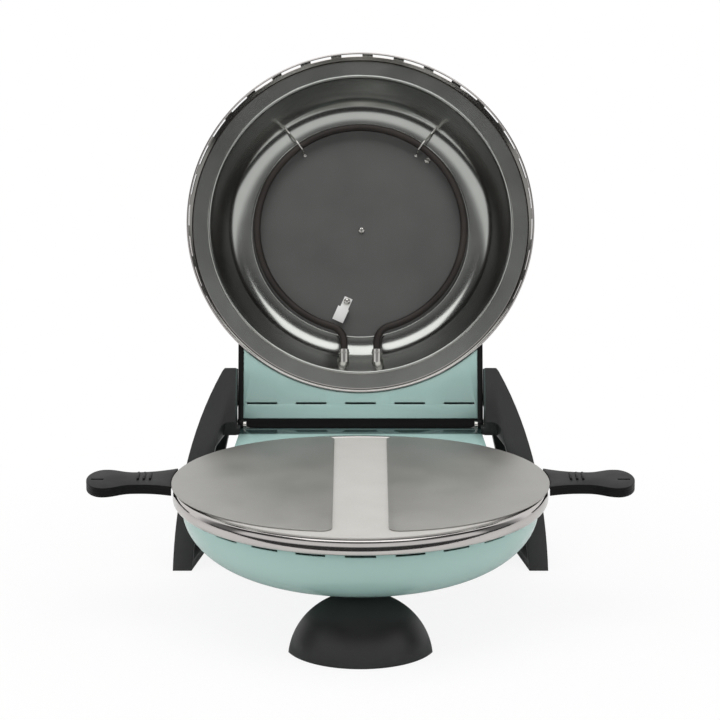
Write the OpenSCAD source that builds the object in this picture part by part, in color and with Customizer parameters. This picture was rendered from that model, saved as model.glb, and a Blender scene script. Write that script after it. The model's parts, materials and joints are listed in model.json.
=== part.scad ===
// Round electric pizza oven with a baking stone, two heaters and a lid that leans back when open.
// Millimetres, Z up. The origin is the centre of the stone's top face, and the front faces -Y.
// Lid pieces are drawn shut, with heights measured up from the lid's lip, and then swung open.

/* [Baking stone] */
// Diameter of the baking stone
stone_d = 310; // [270:1:340]
// Thickness of the baking stone
stone_t = 12; // [9:0.5:14]
// Bevel on the stone's edges
stone_bevel = 1; // [0.5:0.1:2]

/* [Base band] */
// Gap between the stone and the band
stone_gap = 2.2; // [1.5:0.1:4]
// Sheet thickness of the bands
band_t = 1; // [0.6:0.1:1.2]
// Width of the band's rolled top
band_w = 4.8; // [4.5:0.1:7]
// Bulge of the band past its rolled top
band_bulge = 3.3; // [2:0.1:5]
// Height of the base band
band_h = 13.2; // [11:0.1:16]
// Drop of the band's top below the stone's top
band_drop = 0.3; // [0:0.1:1]

/* [Base bowl] */
// Sheet thickness of the mint shells
shell_t = 1.5; // [1:0.1:2]
// Height of the bowl's straight neck under the band
neck_h = 4.5; // [4.2:0.1:8]
// Radius of the bowl's flat bottom
bowl_flat_r = 78; // [60:1:90]
// Depth of the bowl below its neck
bowl_depth = 54; // [48:1:64]
// Number of slots round a full turn of the bowl
base_slot_n = 23; // [18:1:26]
// Length of a bowl slot
base_slot_l = 26; // [18:1:30]
// Height of a bowl slot
base_slot_h = 2.2; // [1.5:0.1:2.5]

/* [Rear box] */
// Distance from the band to the hinge axis
hinge_reach = 29.7; // [27:0.1:36]
// Width of the rear box at the hinge
box_w = 222.6; // [200:0.2:236]
// Length of the rear box from front to back
box_l = 88; // [84:1:96]
// How much wider each side of the rear box is at its front
box_flare = 5.4; // [0:0.1:6]
// Depth of the rear box below its deck
box_h = 61; // [52:1:70]
// Drop of the deck below the stone's top
deck_drop = 1; // [0.5:0.1:2]
// Length of a slot in the deck and in the lid's panel
vent_l = 28.5; // [20:0.5:34]
// Width of a slot in the deck and in the lid's panel
vent_w = 1.8; // [1.2:0.1:3]
// Margin between the last slot and the panel's side
vent_edge = 3; // [2:0.1:10]

/* [Legs and foot] */
// Height of the stone's top above the table
stand_h = 120; // [110:1:140]
// Height of a leg's top above the stone's top
leg_top = 64.1; // [55:0.1:70]
// How far a leg's foot stands outside its own hinge lug
leg_spread = 58.2; // [50:0.1:70]
// Width of a leg at the table
leg_foot_w = 17; // [14:0.5:24]
// Length of a leg from front to back at the table
leg_l = 104; // [90:1:110]
// Thickness of the moulded legs' outer wall
leg_wall = 6; // [4:0.5:8]
// Turn of the legs towards each other at the back
leg_toe = 10; // [6:0.5:12]
// Radius of the dome foot
foot_r = 66; // [58:1:72]
// Wall of the dome foot
foot_wall = 4; // [3:0.5:6]
// Thickness of the rubber pads
pad_t = 2; // [1.5:0.1:3]

/* [Lid] */
// How far the lid opens
open_angle = 114.67; // [95:0.01:118]
// Height of the lid's flared band
lid_band_h = 13; // [11:0.5:16]
// Flare of the lid's band from its top to its lip
lid_flare = 5; // [3:0.1:6]
// Number of slots round a full turn of the lid's band
lid_slot_n = 34; // [28:1:38]
// Length of a slot in the lid's band
lid_slot_l = 19.7; // [12:0.1:21]
// Height of a slot in the lid's band
lid_slot_h = 4.4; // [3:0.1:6]
// Depth of the dome above the band
dome_h = 60; // [54:1:70]
// Radius of the dome's flat crown
dome_flat_r = 50; // [30:1:60]
// Depth of the lid's reflector below its rim
reflector_depth = 31.3; // [27:0.1:36]
// Diameter of the dark plate in the reflector
plate_d = 208; // [180:1:220]
// Width of the reflector's flat rim
reflector_rim_w = 13; // [10:0.1:16]
// Height of the hinge frame's cheeks
cheek_h = 42; // [36:0.5:46]
// Thickness of the hinge frame's cheeks
cheek_t = 5; // [4:0.1:6]

/* [Heaters] */
// Diameter of the heater tubes
tube_d = 7; // [6:0.1:8.5]
// Radius of the upper heater's ring
upper_ring_r = 98.5; // [92:0.5:100]
// Distance from the upper ring's centre line to the foot of the reflector's wall
ring_wall_gap = 13.5; // [12:0.1:18]
// Radius of the lower heater's ring
lower_ring_r = 100; // [90:0.5:106]
// Bend radius of the heaters' ends
tube_bend = 16; // [14:0.5:20]
// Distance between a heater's two ends
tube_ends = 31; // [26:0.5:40]

/* [Control] */
// Diameter of the thermostat knob
knob_d = 44; // [34:0.5:46]
// Height of the thermostat knob
knob_h = 17; // [12:0.5:22]
// Diameter of the knob's shaft
shaft_d = 6; // [5:0.1:8]
// Width of the control housing
pod_w = 92; // [84:1:110]

/* [Peels] */
// Radius of a peel's round blade
peel_r = 145.5; // [140:0.5:148]
// Thickness of a peel's blade
peel_t = 1; // [0.8:0.1:1.2]
// Gap between the two blades
peel_gap = 48; // [40:0.5:60]
// Radius of the blade's corners
peel_corner = 9; // [5:0.5:14]
// Length of a peel's handle
grip_l = 75.5; // [70:0.5:90]
// Width of a peel's handle at its bulb
grip_w = 58.6; // [50:0.2:62]
// Thickness of a peel's handle
grip_t = 9; // [7:0.5:11]

/* [Fits] */
// Clearance between sheet parts that nest
fit = 0.3; // [0.25:0.05:0.4]
// Radial clearance of a pin or shaft in its bore
run_fit = 0.05; // [0.03:0.01:0.08]
// Diameter of the hinge pins
pin_d = 6; // [5:0.1:7]
// Diameter of the screw heads
screw_d = 7; // [6:0.1:8]

/* [Hidden] */
$fn = 96;
eps = 0.01;
big = 600;

// Base band and bowl
stone_r = stone_d / 2;
band_in = stone_r + stone_gap;
band_top = -band_drop;
band_bottom = band_top - band_h;
band_shoulder = band_in + band_w;
band_out = band_shoulder + band_bulge;
band_roll = 2.5;
band_mid = band_top - 0.64 * band_h;
neck_r = band_in - fit / 2;
neck_bottom = band_bottom - neck_h;
bowl_side = neck_r - bowl_flat_r;
bowl_bottom = neck_bottom - bowl_depth;
flange_t = 0.8;
pan_t = 0.8;
pan_r = 138;
pan_z = -stone_t - 28;
pan_scale = stone_r / 155;
pan_wall_r = pan_r * pan_scale;

// Hinge, rear box and legs
hinge_y = band_out + hinge_reach;
wall_y = hinge_y - 7;
box_half = box_w / 2;
box_front_y = wall_y - box_l;
deck_z = -deck_drop;
box_bottom = deck_z - box_h;
vent_inset = 6.5;
vent_n = 5;
vent_pitch = (2 * (box_half - 2) - vent_l - 2 * vent_edge) / (vent_n - 1);
gland_z = box_bottom + 22;
gland_r = 7;
gland_bore = 3.6;
web_screw_z = box_bottom + 15;
web_screw_y = [wall_y - 30, wall_y - 12];
cover_screw_y = [wall_y - 10, wall_y - 52];
ground = -stand_h;
leg_in = box_half + cheek_t - 1.5;
leg_front_y = hinge_y - 71;
leg_lean = 37;
leg_fall = 15.5;
leg_ear = 36;
arch_z = 14.9;
lug_w = 22;
foot_front_y = -(bowl_flat_r + 69.1);
foot_back_y = foot_front_y + 44.8;
foot_y = foot_front_y + foot_r;
foot_z = ground + 60 - foot_r;
foot_tongue = 34;
foot_screw_y = foot_back_y + 35.2;
foot_plate = 7;
post_ring_r = bowl_flat_r - 23;
post_angles = [30, 150, 270];
pin_r = pin_d / 2;
leg_cut_r = hinge_y - sqrt(band_out * band_out - leg_in * leg_in) - 1.2;

// Lid
plate_t = 0.8;
blade_z = fit;
lip_z = blade_z + peel_t + 0.4;
lip_r = band_out - 1.4;
lid_neck_r = lip_r - lid_flare;
dome_side = lid_neck_r - dome_flat_r;
rim_r = lid_neck_r - band_t - fit;
rim_d = lid_band_h - plate_t;
lid_slot_d = 2.6;
lid_slot_phase = -2.9;
lid_slot_back = 40;
shell_d = lid_band_h + band_t;
hem_w = 5;
dome_top = shell_d + dome_h;
mouth_r = rim_r - reflector_rim_w;
reflector_floor = rim_d + reflector_depth;
plate_r = plate_d / 2;
reflector_wall_r = upper_ring_r + ring_wall_gap;
cover_half = box_half - 2;
cover_h = cheek_h + 2;
panel_d = 1.8;
frame_low = 1.3;
cheek_l = 78;
strip_low = frame_low + 1.4;
strip_t = 5.5;
strip_bow = 6;
upper_tube_d = reflector_floor - 9.5;
sensor_at = [-12.8, 69];
plate_screws = [[0, 0], [64, -68.3], sensor_at];
clip_angle = 54;
clip_t = 1;
clip_w = 2;
frame_screw_y = [hinge_y - 52, hinge_y - 24];
frame_screw_d = cheek_h * 0.55;
nut_t = 2.5;
heel_r = 6.7;
heel_h = 4.5;
stop_low = -heel_h - 0.1;
stop_h = 7;

// Heaters
tube_r = tube_d / 2;
lower_tube_z = -stone_t - 14;
ferrule_r = tube_r + 1.1;
upper_stub_y = upper_ring_r + 43;
lower_stub_y = neck_r + 8;

// Control pod
pod_half = pod_w / 2;
pod_y = -(lid_neck_r - 47);
pod_l = 62;
pod_top = dome_top + 15;
pod_wall = 2.5;
knob_y = pod_y - 2;
shaft_r = shaft_d / 2;
lens_x = pod_half - 13;
grip_out = 17;

// Peels
blade_y = 7;
blade_x = 21.2;
grip_y = 13;
root_r = band_out + 1;
tang_w = 30;
tang_l = 16;
grip_top = blade_z + peel_t + 0.9;
rib_l = 25;
rib_h = 0.8;
hang_slot = [11, 3.2];
groove_w = 1;

function bezier(a, b, c, d, n = 8) =
    [for (i = [0:n]) let (t = i / n, u = 1 - t)
        u * u * u * a + 3 * u * u * t * b + 3 * u * t * t * c + t * t * t * d];

function arc(centre, rx, ry, from, to, n = 8) =
    [for (i = [0:n]) let (a = from + (to - from) * i / n)
        [centre[0] + rx * cos(a), centre[1] + ry * sin(a)]];

function reverse(list) = [for (i = [len(list) - 1:-1:0]) list[i]];

module revolve(points) {
    rotate_extrude() polygon(points);
}

// A bar that crosses a round wall at each step of a turn, left out within an angle of the back
module slot_ring(count, length, height, radius, z, phase, back_angle) {
    for (i = [0:count - 1])
        let (a = i * 360 / count + phase)
            if (abs(a - 180) > back_angle)
                rotate([0, 0, a])
                    translate([-length / 2, -radius - 6, z])
                        cube([length, 12, height]);
}

module swung_open() {
    translate([0, hinge_y, 0])
        rotate([-open_angle, 0, 0])
            translate([0, -hinge_y, 0])
                children();
}

module from_lip() {
    translate([0, 0, lip_z]) children();
}

module both_sides() {
    children();
    mirror([1, 0, 0]) children();
}

module screw_head(radius, height) {
    rotate_extrude()
        polygon(concat([[0, 0], [radius, 0], [radius, height * 0.35]],
            arc([radius * 0.6, height * 0.35], radius * 0.4, height * 0.65, 0, 90, 4),
            [[0, height]]));
}

// Base band, its sheet drawn at an offset from the outer skin
function rim_line(o) = concat(
    [[band_in + o, band_bottom]],
    arc([band_in + band_roll, band_top - band_roll], band_roll - o, band_roll - o, 180, 90, 6),
    arc([band_shoulder, band_mid], band_bulge - o, band_top - band_mid - o, 90, 0, 8),
    arc([band_shoulder, band_mid], band_bulge - o, band_mid - band_bottom - o, 0, -90, 6),
    [[band_in + 2.4, band_bottom + o]]);

module base_rim() {
    color("silver") revolve(concat(rim_line(0), reverse(rim_line(band_t))));
}

module baking_stone() {
    color([0.82, 0.81, 0.78])
        revolve([[0, -stone_t], [stone_r - stone_bevel, -stone_t], [stone_r, -stone_t + stone_bevel],
            [stone_r, -stone_bevel], [stone_r - stone_bevel, 0], [0, 0]]);
}

function bowl_arc(o) = arc([bowl_flat_r, neck_bottom], bowl_side + o, bowl_depth + o, 0, -90, 20);

// The space inside the bowl's outer skin, grown by a gap
module bowl_solid(gap) {
    revolve(concat([[0, band_bottom], [neck_r + gap, band_bottom]], bowl_arc(gap),
        [[0, bowl_bottom - gap]]));
}

module stub_holes(y, z, half, radius, length) {
    for (x = [-half, half])
        translate([x, y, z])
            rotate([-90, 0, 0])
                cylinder(r = radius, h = length);
}

module base_shell() {
    color([0.63, 0.74, 0.71]) difference() {
        revolve(concat(
            [[neck_r - shell_t, -stone_t - pan_t], [neck_r, -stone_t - pan_t],
                [neck_r, band_bottom], [band_shoulder - 0.5, band_bottom],
                [band_shoulder - 0.5, band_bottom - flange_t], [neck_r, band_bottom - flange_t]],
            bowl_arc(0), [[0, bowl_bottom], [0, bowl_bottom + shell_t]], reverse(bowl_arc(-shell_t))));
        slot_ring(base_slot_n, base_slot_l, base_slot_h, neck_r,
            band_bottom - flange_t - 0.6 - base_slot_h, 0, 45);
        stub_holes(neck_r - 20, lower_tube_z, tube_ends / 2, ferrule_r + fit, 40);
        for (x = [-foot_tongue / 2, foot_tongue / 2])
            translate([x, foot_screw_y, bowl_bottom - 1]) cylinder(r = 2, h = shell_t + 2, $fn = 32);
        for (a = post_angles)
            rotate([0, 0, a])
                translate([post_ring_r, 0, bowl_bottom - 1]) cylinder(r = 2, h = shell_t + 2, $fn = 32);
    }
}

function box_plan(o) = let (hb = box_half + o, hf = box_half + box_flare + o)
    [[-hf, box_front_y], [-hb, wall_y + o], [hb, wall_y + o], [hf, box_front_y]];

// Outside of the rear box's side at a given y, and the centre of a screw boss against it
function box_side(y) = box_half + box_flare * (wall_y - y) / (wall_y - box_front_y);

function boss_x(y) = box_side(y) - shell_t - 4;

module box_prism(o, low, high) {
    translate([0, 0, low]) linear_extrude(high - low) polygon(box_plan(o));
}

module vents(y, z) {
    for (i = [0:vent_n - 1])
        translate([(i - (vent_n - 1) / 2) * vent_pitch - vent_l / 2, y - vent_w / 2, z])
            cube([vent_l, vent_w, 6]);
}

module rear_box() {
    color([0.63, 0.74, 0.71]) difference() {
        union() {
            difference() {
                box_prism(0, box_bottom, deck_z);
                box_prism(-shell_t, box_bottom - 1, deck_z - shell_t);
            }
            both_sides()
                for (y = cover_screw_y)
                    translate([boss_x(y), y, box_bottom]) cylinder(r = 5, h = 12);
        }
        bowl_solid(fit);
        translate([0, 0, band_bottom - 1]) cylinder(r = band_out + fit, h = stone_t + 20);
        vents(wall_y - vent_inset, deck_z - 4);
        translate([0, wall_y + 1, gland_z]) rotate([90, 0, 0]) cylinder(r = gland_r, h = 6);
        both_sides()
            for (y = web_screw_y)
                translate([box_half - 8, y, web_screw_z])
                    rotate([0, 90, 0]) cylinder(r = 2, h = 20, $fn = 32);
        both_sides()
            for (y = cover_screw_y)
                translate([boss_x(y), y, box_bottom - 1]) cylinder(r = 1.6, h = 10, $fn = 32);
    }
}

module base_service_cover() {
    color([0.35, 0.36, 0.37]) difference() {
        box_prism(0, box_bottom - shell_t, box_bottom);
        bowl_solid(fit);
        both_sides()
            for (y = cover_screw_y)
                translate([boss_x(y), y, box_bottom - 3]) cylinder(r = 2, h = 6, $fn = 32);
        for (x = [-60:12:60])
            translate([x - 2, wall_y - 32, box_bottom - 3]) cube([4, 16, 6]);
    }
}

module lower_reflector() {
    color([0.75, 0.75, 0.74]) difference() {
        revolve([[0, pan_z - pan_t], [pan_wall_r - 6, pan_z - pan_t], [pan_wall_r, pan_z + 3],
            [stone_r - 6, -stone_t - pan_t], [neck_r - fit, -stone_t - pan_t], [neck_r - fit, -stone_t],
            [stone_r - 7, -stone_t], [pan_wall_r - 1, pan_z + 3.4], [pan_wall_r - 6.4, pan_z], [0, pan_z]]);
        stub_holes(pan_wall_r - 20, lower_tube_z, tube_ends / 2, ferrule_r + fit, 60);
        for (a = post_angles)
            rotate([0, 0, a])
                translate([post_ring_r, 0, pan_z - 3]) cylinder(r = 2, h = 6, $fn = 32);
    }
}

module reflector_posts() {
    color("silver")
        for (a = post_angles)
            rotate([0, 0, a])
                translate([post_ring_r, 0, bowl_bottom + shell_t]) {
                    cylinder(r = 5, h = pan_z - pan_t - bowl_bottom - shell_t);
                    cylinder(r = 1.9, h = pan_z + 0.5 - bowl_bottom - shell_t);
                    translate([0, 0, pan_z - bowl_bottom - shell_t]) screw_head(4, 2);
                    translate([0, 0, -shell_t - 1.8]) cylinder(r = 4, h = 1.8);
                    translate([0, 0, -shell_t - 1]) cylinder(r = 1.9, h = shell_t + 2);
                }
}

// Centre line of a heater as [x, y, angle of the section's outward normal]: from the right end
// round the front to the left end, in one plane
function heater_path(ring_r, stub_y, half) =
    let (a = asin((half + tube_bend) / (ring_r + tube_bend)),
        by = (ring_r + tube_bend) * cos(a),
        bx = half + tube_bend)
    concat([[half, stub_y, 0]],
        [for (i = [0:6]) let (n = (90 - a) * i / 6)
            [bx - tube_bend * cos(n), by - tube_bend * sin(n), n]],
        [for (i = [1:59]) let (n = 90 - a - (360 - 2 * a) * i / 60) [ring_r * cos(n), ring_r * sin(n), n]],
        [for (i = [0:6]) let (n = -270 + a + (90 - a) * i / 6)
            [-bx - tube_bend * cos(n), by - tube_bend * sin(n), n]],
        [[-half, stub_y, -180]]);

// One heater tube: a ring that opens at the back, where both ends bend outwards and run to stub_y
module heater(ring_r, stub_y, half) {
    path = heater_path(ring_r, stub_y, half);
    sides = 12;
    last = len(path) - 1;
    points = [for (p = path) for (j = [0:sides - 1]) let (s = 360 * j / sides, u = tube_r * cos(s))
        [p[0] + u * cos(p[2]), p[1] + u * sin(p[2]), tube_r * sin(s)]];
    walls = [for (i = [0:last - 1]) for (j = [0:sides - 1])
        let (a = i * sides + j, b = i * sides + (j + 1) % sides, c = b + sides, d = a + sides)
            each [[a, d, c], [a, c, b]]];
    polyhedron(points, concat(walls,
        [[for (j = [0:sides - 1]) j], [for (j = [sides - 1:-1:0]) last * sides + j]]));
}

module ferrules(y, half, length) {
    for (x = [-half, half])
        translate([x, y, 0])
            rotate([-90, 0, 0])
                difference() {
                    union() {
                        cylinder(r = ferrule_r, h = length);
                        translate([0, 0, 3]) cylinder(r = ferrule_r + 0.8, h = 1.2);
                    }
                    translate([0, 0, -1]) cylinder(r = tube_r + run_fit, h = length + 2);
                }
}

module lower_element() {
    color([0.28, 0.26, 0.25])
        translate([0, 0, lower_tube_z]) heater(lower_ring_r, lower_stub_y, tube_ends / 2);
}

module lower_ferrules() {
    color("silver")
        translate([0, 0, lower_tube_z]) ferrules(neck_r - 24, tube_ends / 2, 28);
}

module lower_element_clips() {
    color([0.7, 0.7, 0.7])
        for (a = [0, 90, 180])
            rotate([0, 0, a + 180])
                translate([lower_ring_r, 0, pan_z])
                    difference() {
                        translate([-3, -2.5, 0]) cube([6, 5, lower_tube_z - pan_z]);
                        translate([-lower_ring_r, 0, lower_tube_z - pan_z])
                            rotate_extrude()
                                translate([lower_ring_r, 0]) circle(r = tube_r + run_fit, $fn = 32);
                    }
}

module terminal_block() {
    color([0.9, 0.88, 0.82]) difference() {
        translate([-24, wall_y - shell_t - 14, gland_z - 22]) cube([48, 14, 12]);
        for (i = [-2:2])
            translate([i * 9, wall_y - shell_t - 7, gland_z - 14]) cylinder(r = 2.4, h = 6, $fn = 32);
    }
}

module cord_gland() {
    color([0.12, 0.12, 0.12])
        translate([0, wall_y - 3, gland_z])
            rotate([-90, 0, 0])
                difference() {
                    union() {
                        cylinder(r = gland_r - fit, h = 6);
                        cylinder(r = gland_r + 2, h = 1.4);
                        translate([0, 0, 3.1]) cylinder(r = gland_r + 2, h = 3.4);
                        translate([0, 0, 6]) cylinder(r = gland_r - 1, h = 10);
                    }
                    translate([0, 0, -1]) cylinder(r = gland_bore, h = 20);
                }
}

// Front foot: the front slice of a ball, trimmed by the bowl and open at the back
module foot_ball(radius, low, back) {
    intersection() {
        translate([0, foot_y, foot_z]) sphere(r = radius, $fn = 128);
        translate([-radius, back - radius, low]) cube([2 * radius, radius, 2 * radius]);
    }
}

module front_foot() {
    color([0.13, 0.13, 0.13]) difference() {
        union() {
            difference() {
                foot_ball(foot_r, ground + pad_t / 4, foot_back_y);
                difference() {
                    foot_ball(foot_r - foot_wall, ground + pad_t + foot_wall, foot_back_y + foot_wall);
                    // Plate inside the dome that carries the tongue
                    translate([-foot_r, foot_front_y, bowl_bottom - foot_plate])
                        cube([2 * foot_r, foot_r, foot_wall]);
                }
            }
            translate([-foot_tongue / 2 - 9, foot_back_y - foot_wall, bowl_bottom - foot_plate])
                cube([foot_tongue + 18, foot_screw_y + foot_plate - foot_back_y + foot_wall, foot_plate]);
            translate([-3, foot_back_y - 20, ground + pad_t + foot_wall - 1])
                cube([6, 20, bowl_bottom - ground - pad_t - foot_wall - 2]);
        }
        bowl_solid(fit);
        translate([0, 0, bowl_bottom]) cylinder(r = bowl_flat_r, h = 10);
        foot_pad_shape(fit / 2);
        for (x = [-foot_tongue / 2, foot_tongue / 2])
            translate([x, foot_screw_y, bowl_bottom - 10]) cylinder(r = 2, h = 12, $fn = 32);
    }
}

module foot_pad_shape(o) {
    translate([0, 0, ground])
        linear_extrude(pad_t + o)
            intersection() {
                translate([0, foot_y]) circle(r = foot_r - 8 + o, $fn = 128);
                translate([-foot_r, foot_back_y - foot_r - 4 + o]) square([2 * foot_r, foot_r]);
            }
}

module front_foot_pad() {
    color([0.08, 0.08, 0.08]) foot_pad_shape(0);
}

// Leg outline in the front plane, as x out from the hinge lug and z
function leg_outer(o) = bezier(
    [leg_in + leg_spread * 0.33 - o, leg_top - 3], [leg_in + leg_spread * 0.83 - o, 6],
    [leg_in + leg_spread - o, ground + 62], [leg_in + leg_spread - o, ground], 16);

function leg_inner() = bezier(
    [leg_in + leg_spread - leg_foot_w, ground], [leg_in + leg_spread * 0.68, ground + 56],
    [leg_in + leg_spread * 0.47, ground + 90], [leg_in + leg_spread * 0.36, 4], 10);

module leg_front() {
    polygon(concat([[leg_in - 12, arch_z], [leg_in - 12, leg_top],
            [leg_in + leg_spread * 0.26, leg_top], [leg_in + leg_spread * 0.305, leg_top - 1]],
        leg_outer(0), leg_inner(),
        arc([leg_in + leg_spread * 0.36 - 10, arch_z - 10], 9.5, 10, 20, 90, 5)));
}

// Side view of a leg, as y and z, whose top falls towards the back
function leg_side(o) = [
    [leg_front_y + o, ground], [leg_front_y + leg_lean + o, leg_top + eps],
    [hinge_y + leg_ear - o, leg_top - (hinge_y + leg_ear - leg_front_y - leg_lean) * tan(leg_fall)],
    [hinge_y + 20 - o, -10], [leg_front_y + leg_l - o, ground]];

// Section of a leg from front to back, extruded across it
module leg_side_block(o, low, high) {
    translate([low, 0, 0])
        rotate([90, 0, 90])
            linear_extrude(high - low) polygon(leg_side(o));
}

module toed_in() {
    translate([leg_in + leg_spread, leg_front_y, 0])
        rotate([0, 0, leg_toe])
            translate([-leg_in - leg_spread, -leg_front_y, 0])
                children();
}

module leg_pocket() {
    intersection() {
        toed_in()
            translate([0, big / 2, 0])
                rotate([90, 0, 0])
                    linear_extrude(big)
                        polygon(concat(
                            [[leg_in - 40, leg_top - 12], [leg_in + leg_spread * 0.2, leg_top - 12]],
                            [for (p = leg_outer(leg_wall)) if (p[1] < leg_top - 14) p],
                            [[leg_in - 40, ground]]));
        leg_side_block(leg_wall, leg_in - 2, leg_in + leg_spread + 20);
        union() {
            for (i = [0:2])
                translate([0, 0, ground + 8 + i * 36]) translate([leg_in, 0, 0]) cube([big, big, 32]);
        }
    }
}

module leg() {
    color([0.17, 0.17, 0.17]) difference() {
        union() {
            difference() {
                intersection() {
                    toed_in()
                        translate([0, big / 2, 0])
                            rotate([90, 0, 0])
                                linear_extrude(big) leg_front();
                    leg_side_block(0, leg_in, leg_in + leg_spread + 20);
                    translate([leg_in, 0, ground + pad_t / 4]) cube([big, big, big]);
                }
                leg_pocket();
            }
            // Lug that holds the hinge pin
            translate([leg_in, hinge_y - 17, -5]) cube([lug_w, 27, arch_z + 6]);
            // Stop for the open lid
            translate([box_half + 0.5, hinge_y - 17, stop_low]) cube([leg_in - box_half, 10, stop_h]);
            // Web that bolts to the rear box
            intersection() {
                translate([box_half - 2, wall_y - 38, box_bottom]) cube([leg_spread * 0.7, 36, 30]);
                toed_in()
                    translate([0, big / 2, 0])
                        rotate([90, 0, 0])
                            linear_extrude(big)
                                polygon(concat([[leg_in - 30, ground], [leg_in - 30, 4]],
                                    leg_outer(leg_wall / 2)));
            }
        }
        box_prism(fit, box_bottom - 30, deck_z);
        translate([leg_in - 30, hinge_y, 0])
            rotate([0, 90, 0]) cylinder(r = pin_r + run_fit, h = 30 + lug_w - 4);
        for (y = web_screw_y)
            translate([box_half - 4, y, web_screw_z])
                rotate([0, 90, 0]) cylinder(r = 2.2, h = big / 2, $fn = 32);
        for (y = web_screw_y)
            translate([leg_in + 3, y, web_screw_z])
                rotate([0, 90, 0]) cylinder(r = screw_d / 2 + fit, h = big / 2, $fn = 32);
        // Room for the lid's edge as it swings
        difference() {
            translate([leg_in - 1, leg_front_y, eps]) cube([7, hinge_y + 20 - leg_front_y, leg_top + 6]);
            translate([leg_in - 2, hinge_y, 0]) rotate([0, 90, 0]) cylinder(r = leg_cut_r, h = 10);
        }
        leg_pad_shape(fit / 2);
    }
}

module leg_pad_shape(o) {
    toed_in()
        for (y = [leg_front_y + 8, leg_front_y + leg_l - 32])
            translate([leg_in + leg_spread - leg_foot_w + 3 - o, y - o, ground])
                cube([leg_foot_w - 6 + 2 * o, 22 + 2 * o, pad_t + o]);
}

module right_leg() {
    leg();
}

module left_leg() {
    mirror([1, 0, 0]) leg();
}

module leg_pads() {
    color([0.08, 0.08, 0.08]) both_sides() leg_pad_shape(0);
}

module leg_screws() {
    color("silver") both_sides() {
        for (y = web_screw_y)
            translate([leg_in + 3, y, web_screw_z])
                rotate([0, 90, 0]) {
                    screw_head(screw_d / 2, 2.4);
                    translate([0, 0, -12]) cylinder(r = 1.9, h = 12.5, $fn = 32);
                }
    }
}

module base_screws() {
    color("silver") {
        for (x = [-foot_tongue / 2, foot_tongue / 2])
            translate([x, foot_screw_y, bowl_bottom - foot_plate])
                rotate([180, 0, 0]) {
                    screw_head(screw_d / 2, 2.2);
                    translate([0, 0, -9.5]) cylinder(r = 1.9, h = 10, $fn = 32);
                }
        both_sides()
            for (y = cover_screw_y)
                translate([boss_x(y), y, box_bottom - shell_t])
                    rotate([180, 0, 0]) {
                        screw_head(screw_d / 2, 2);
                        translate([0, 0, -8]) cylinder(r = 1.5, h = 8.5, $fn = 32);
                    }
    }
}

module hinge_pins() {
    color([0.8, 0.8, 0.8]) both_sides()
        translate([cover_half - 3, hinge_y, 0])
            rotate([0, 90, 0]) {
                cylinder(r = pin_r + 0.9, h = 2.7);
                cylinder(r = pin_r, h = leg_in + lug_w - 5 - cover_half + 3);
            }
}

// Lid band: a cone that flares to a rolled lip, with a hem turned in at its top
module lid_band() {
    color("silver") swung_open() from_lip() difference() {
        revolve(concat(
            [[lid_neck_r - hem_w, lid_band_h + band_t], [lid_neck_r, lid_band_h + band_t], [lip_r, 2.2]],
            arc([lip_r - 1.1, 1.1], 1.1, 1.1, 10, -90, 6), arc([lip_r - 1.6, 0.9], 0.9, 0.9, -90, -180, 4),
            [[lid_neck_r - band_t, lid_band_h], [lid_neck_r - hem_w, lid_band_h]]));
        slot_ring(lid_slot_n, lid_slot_l, lid_slot_h, lip_r - 4, lid_slot_d, lid_slot_phase, lid_slot_back);
    }
}

function dome_arc(o) = arc([dome_flat_r, shell_d], dome_side + o, dome_h + o, 0, 90, 20);

// The space inside the lid's outer skin, grown by a gap
module lid_solid(gap) {
    revolve(concat([[0, -1], [lip_r + gap, -1], [lip_r + gap, 2.2], [lid_neck_r + gap, shell_d - eps]],
        dome_arc(gap), [[0, dome_top + gap]]));
}

module lid_shell() {
    color([0.63, 0.74, 0.71]) swung_open() from_lip()
        difference() {
            revolve(concat(
                [[lid_neck_r - hem_w, shell_d]], dome_arc(0),
                [[0, dome_top], [0, dome_top - shell_t]],
                [for (p = reverse(dome_arc(-shell_t))) if (p[1] > shell_d + shell_t) p],
                [[lid_neck_r - shell_t, shell_d + shell_t], [lid_neck_r - hem_w, shell_d + shell_t]]));
            translate([0, 0, dome_top - 5]) cylinder(r = 2.1, h = 10, $fn = 32);
            translate([0, knob_y, dome_top - 30]) cylinder(r = 6, h = 40, $fn = 32);
        }
}

module lid_rear_cover() {
    color([0.63, 0.74, 0.71]) swung_open() from_lip() difference() {
        translate([-cover_half, 90, panel_d + 1])
            cube([2 * cover_half, wall_y - 90, cover_h - panel_d - 1]);
        translate([-cover_half + shell_t, 80, panel_d])
            cube([2 * cover_half - 2 * shell_t, wall_y - 80 - shell_t, cover_h - panel_d - shell_t]);
        lid_solid(fit);
        both_sides() frame_screw_holes(1.6);
    }
}

module lid_vent_panel() {
    color([0.63, 0.76, 0.73]) swung_open() from_lip() difference() {
        translate([-cover_half, 90, panel_d]) cube([2 * cover_half, wall_y - 90, 1]);
        lid_solid(fit);
        vents(hinge_y - 21.2, panel_d - 2);
    }
}

module frame_screw_holes(radius) {
    for (y = frame_screw_y)
        translate([cover_half - 6, y, frame_screw_d])
            rotate([0, 90, 0]) cylinder(r = radius, h = 20, $fn = 32);
}

// Rear strip from above, with its back bowed between the cheeks
module strip_outline() {
    end = cover_half + 1;
    bow_end = cover_half - 7;
    polygon(concat([[end, strip_t], [end, 0], [-end, 0], [-end, strip_t]],
        bezier([-bow_end, strip_t + strip_bow / 2], [-bow_end * 0.4, strip_t + strip_bow],
            [bow_end * 0.4, strip_t + strip_bow], [bow_end, strip_t + strip_bow / 2], 12)));
}

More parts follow.
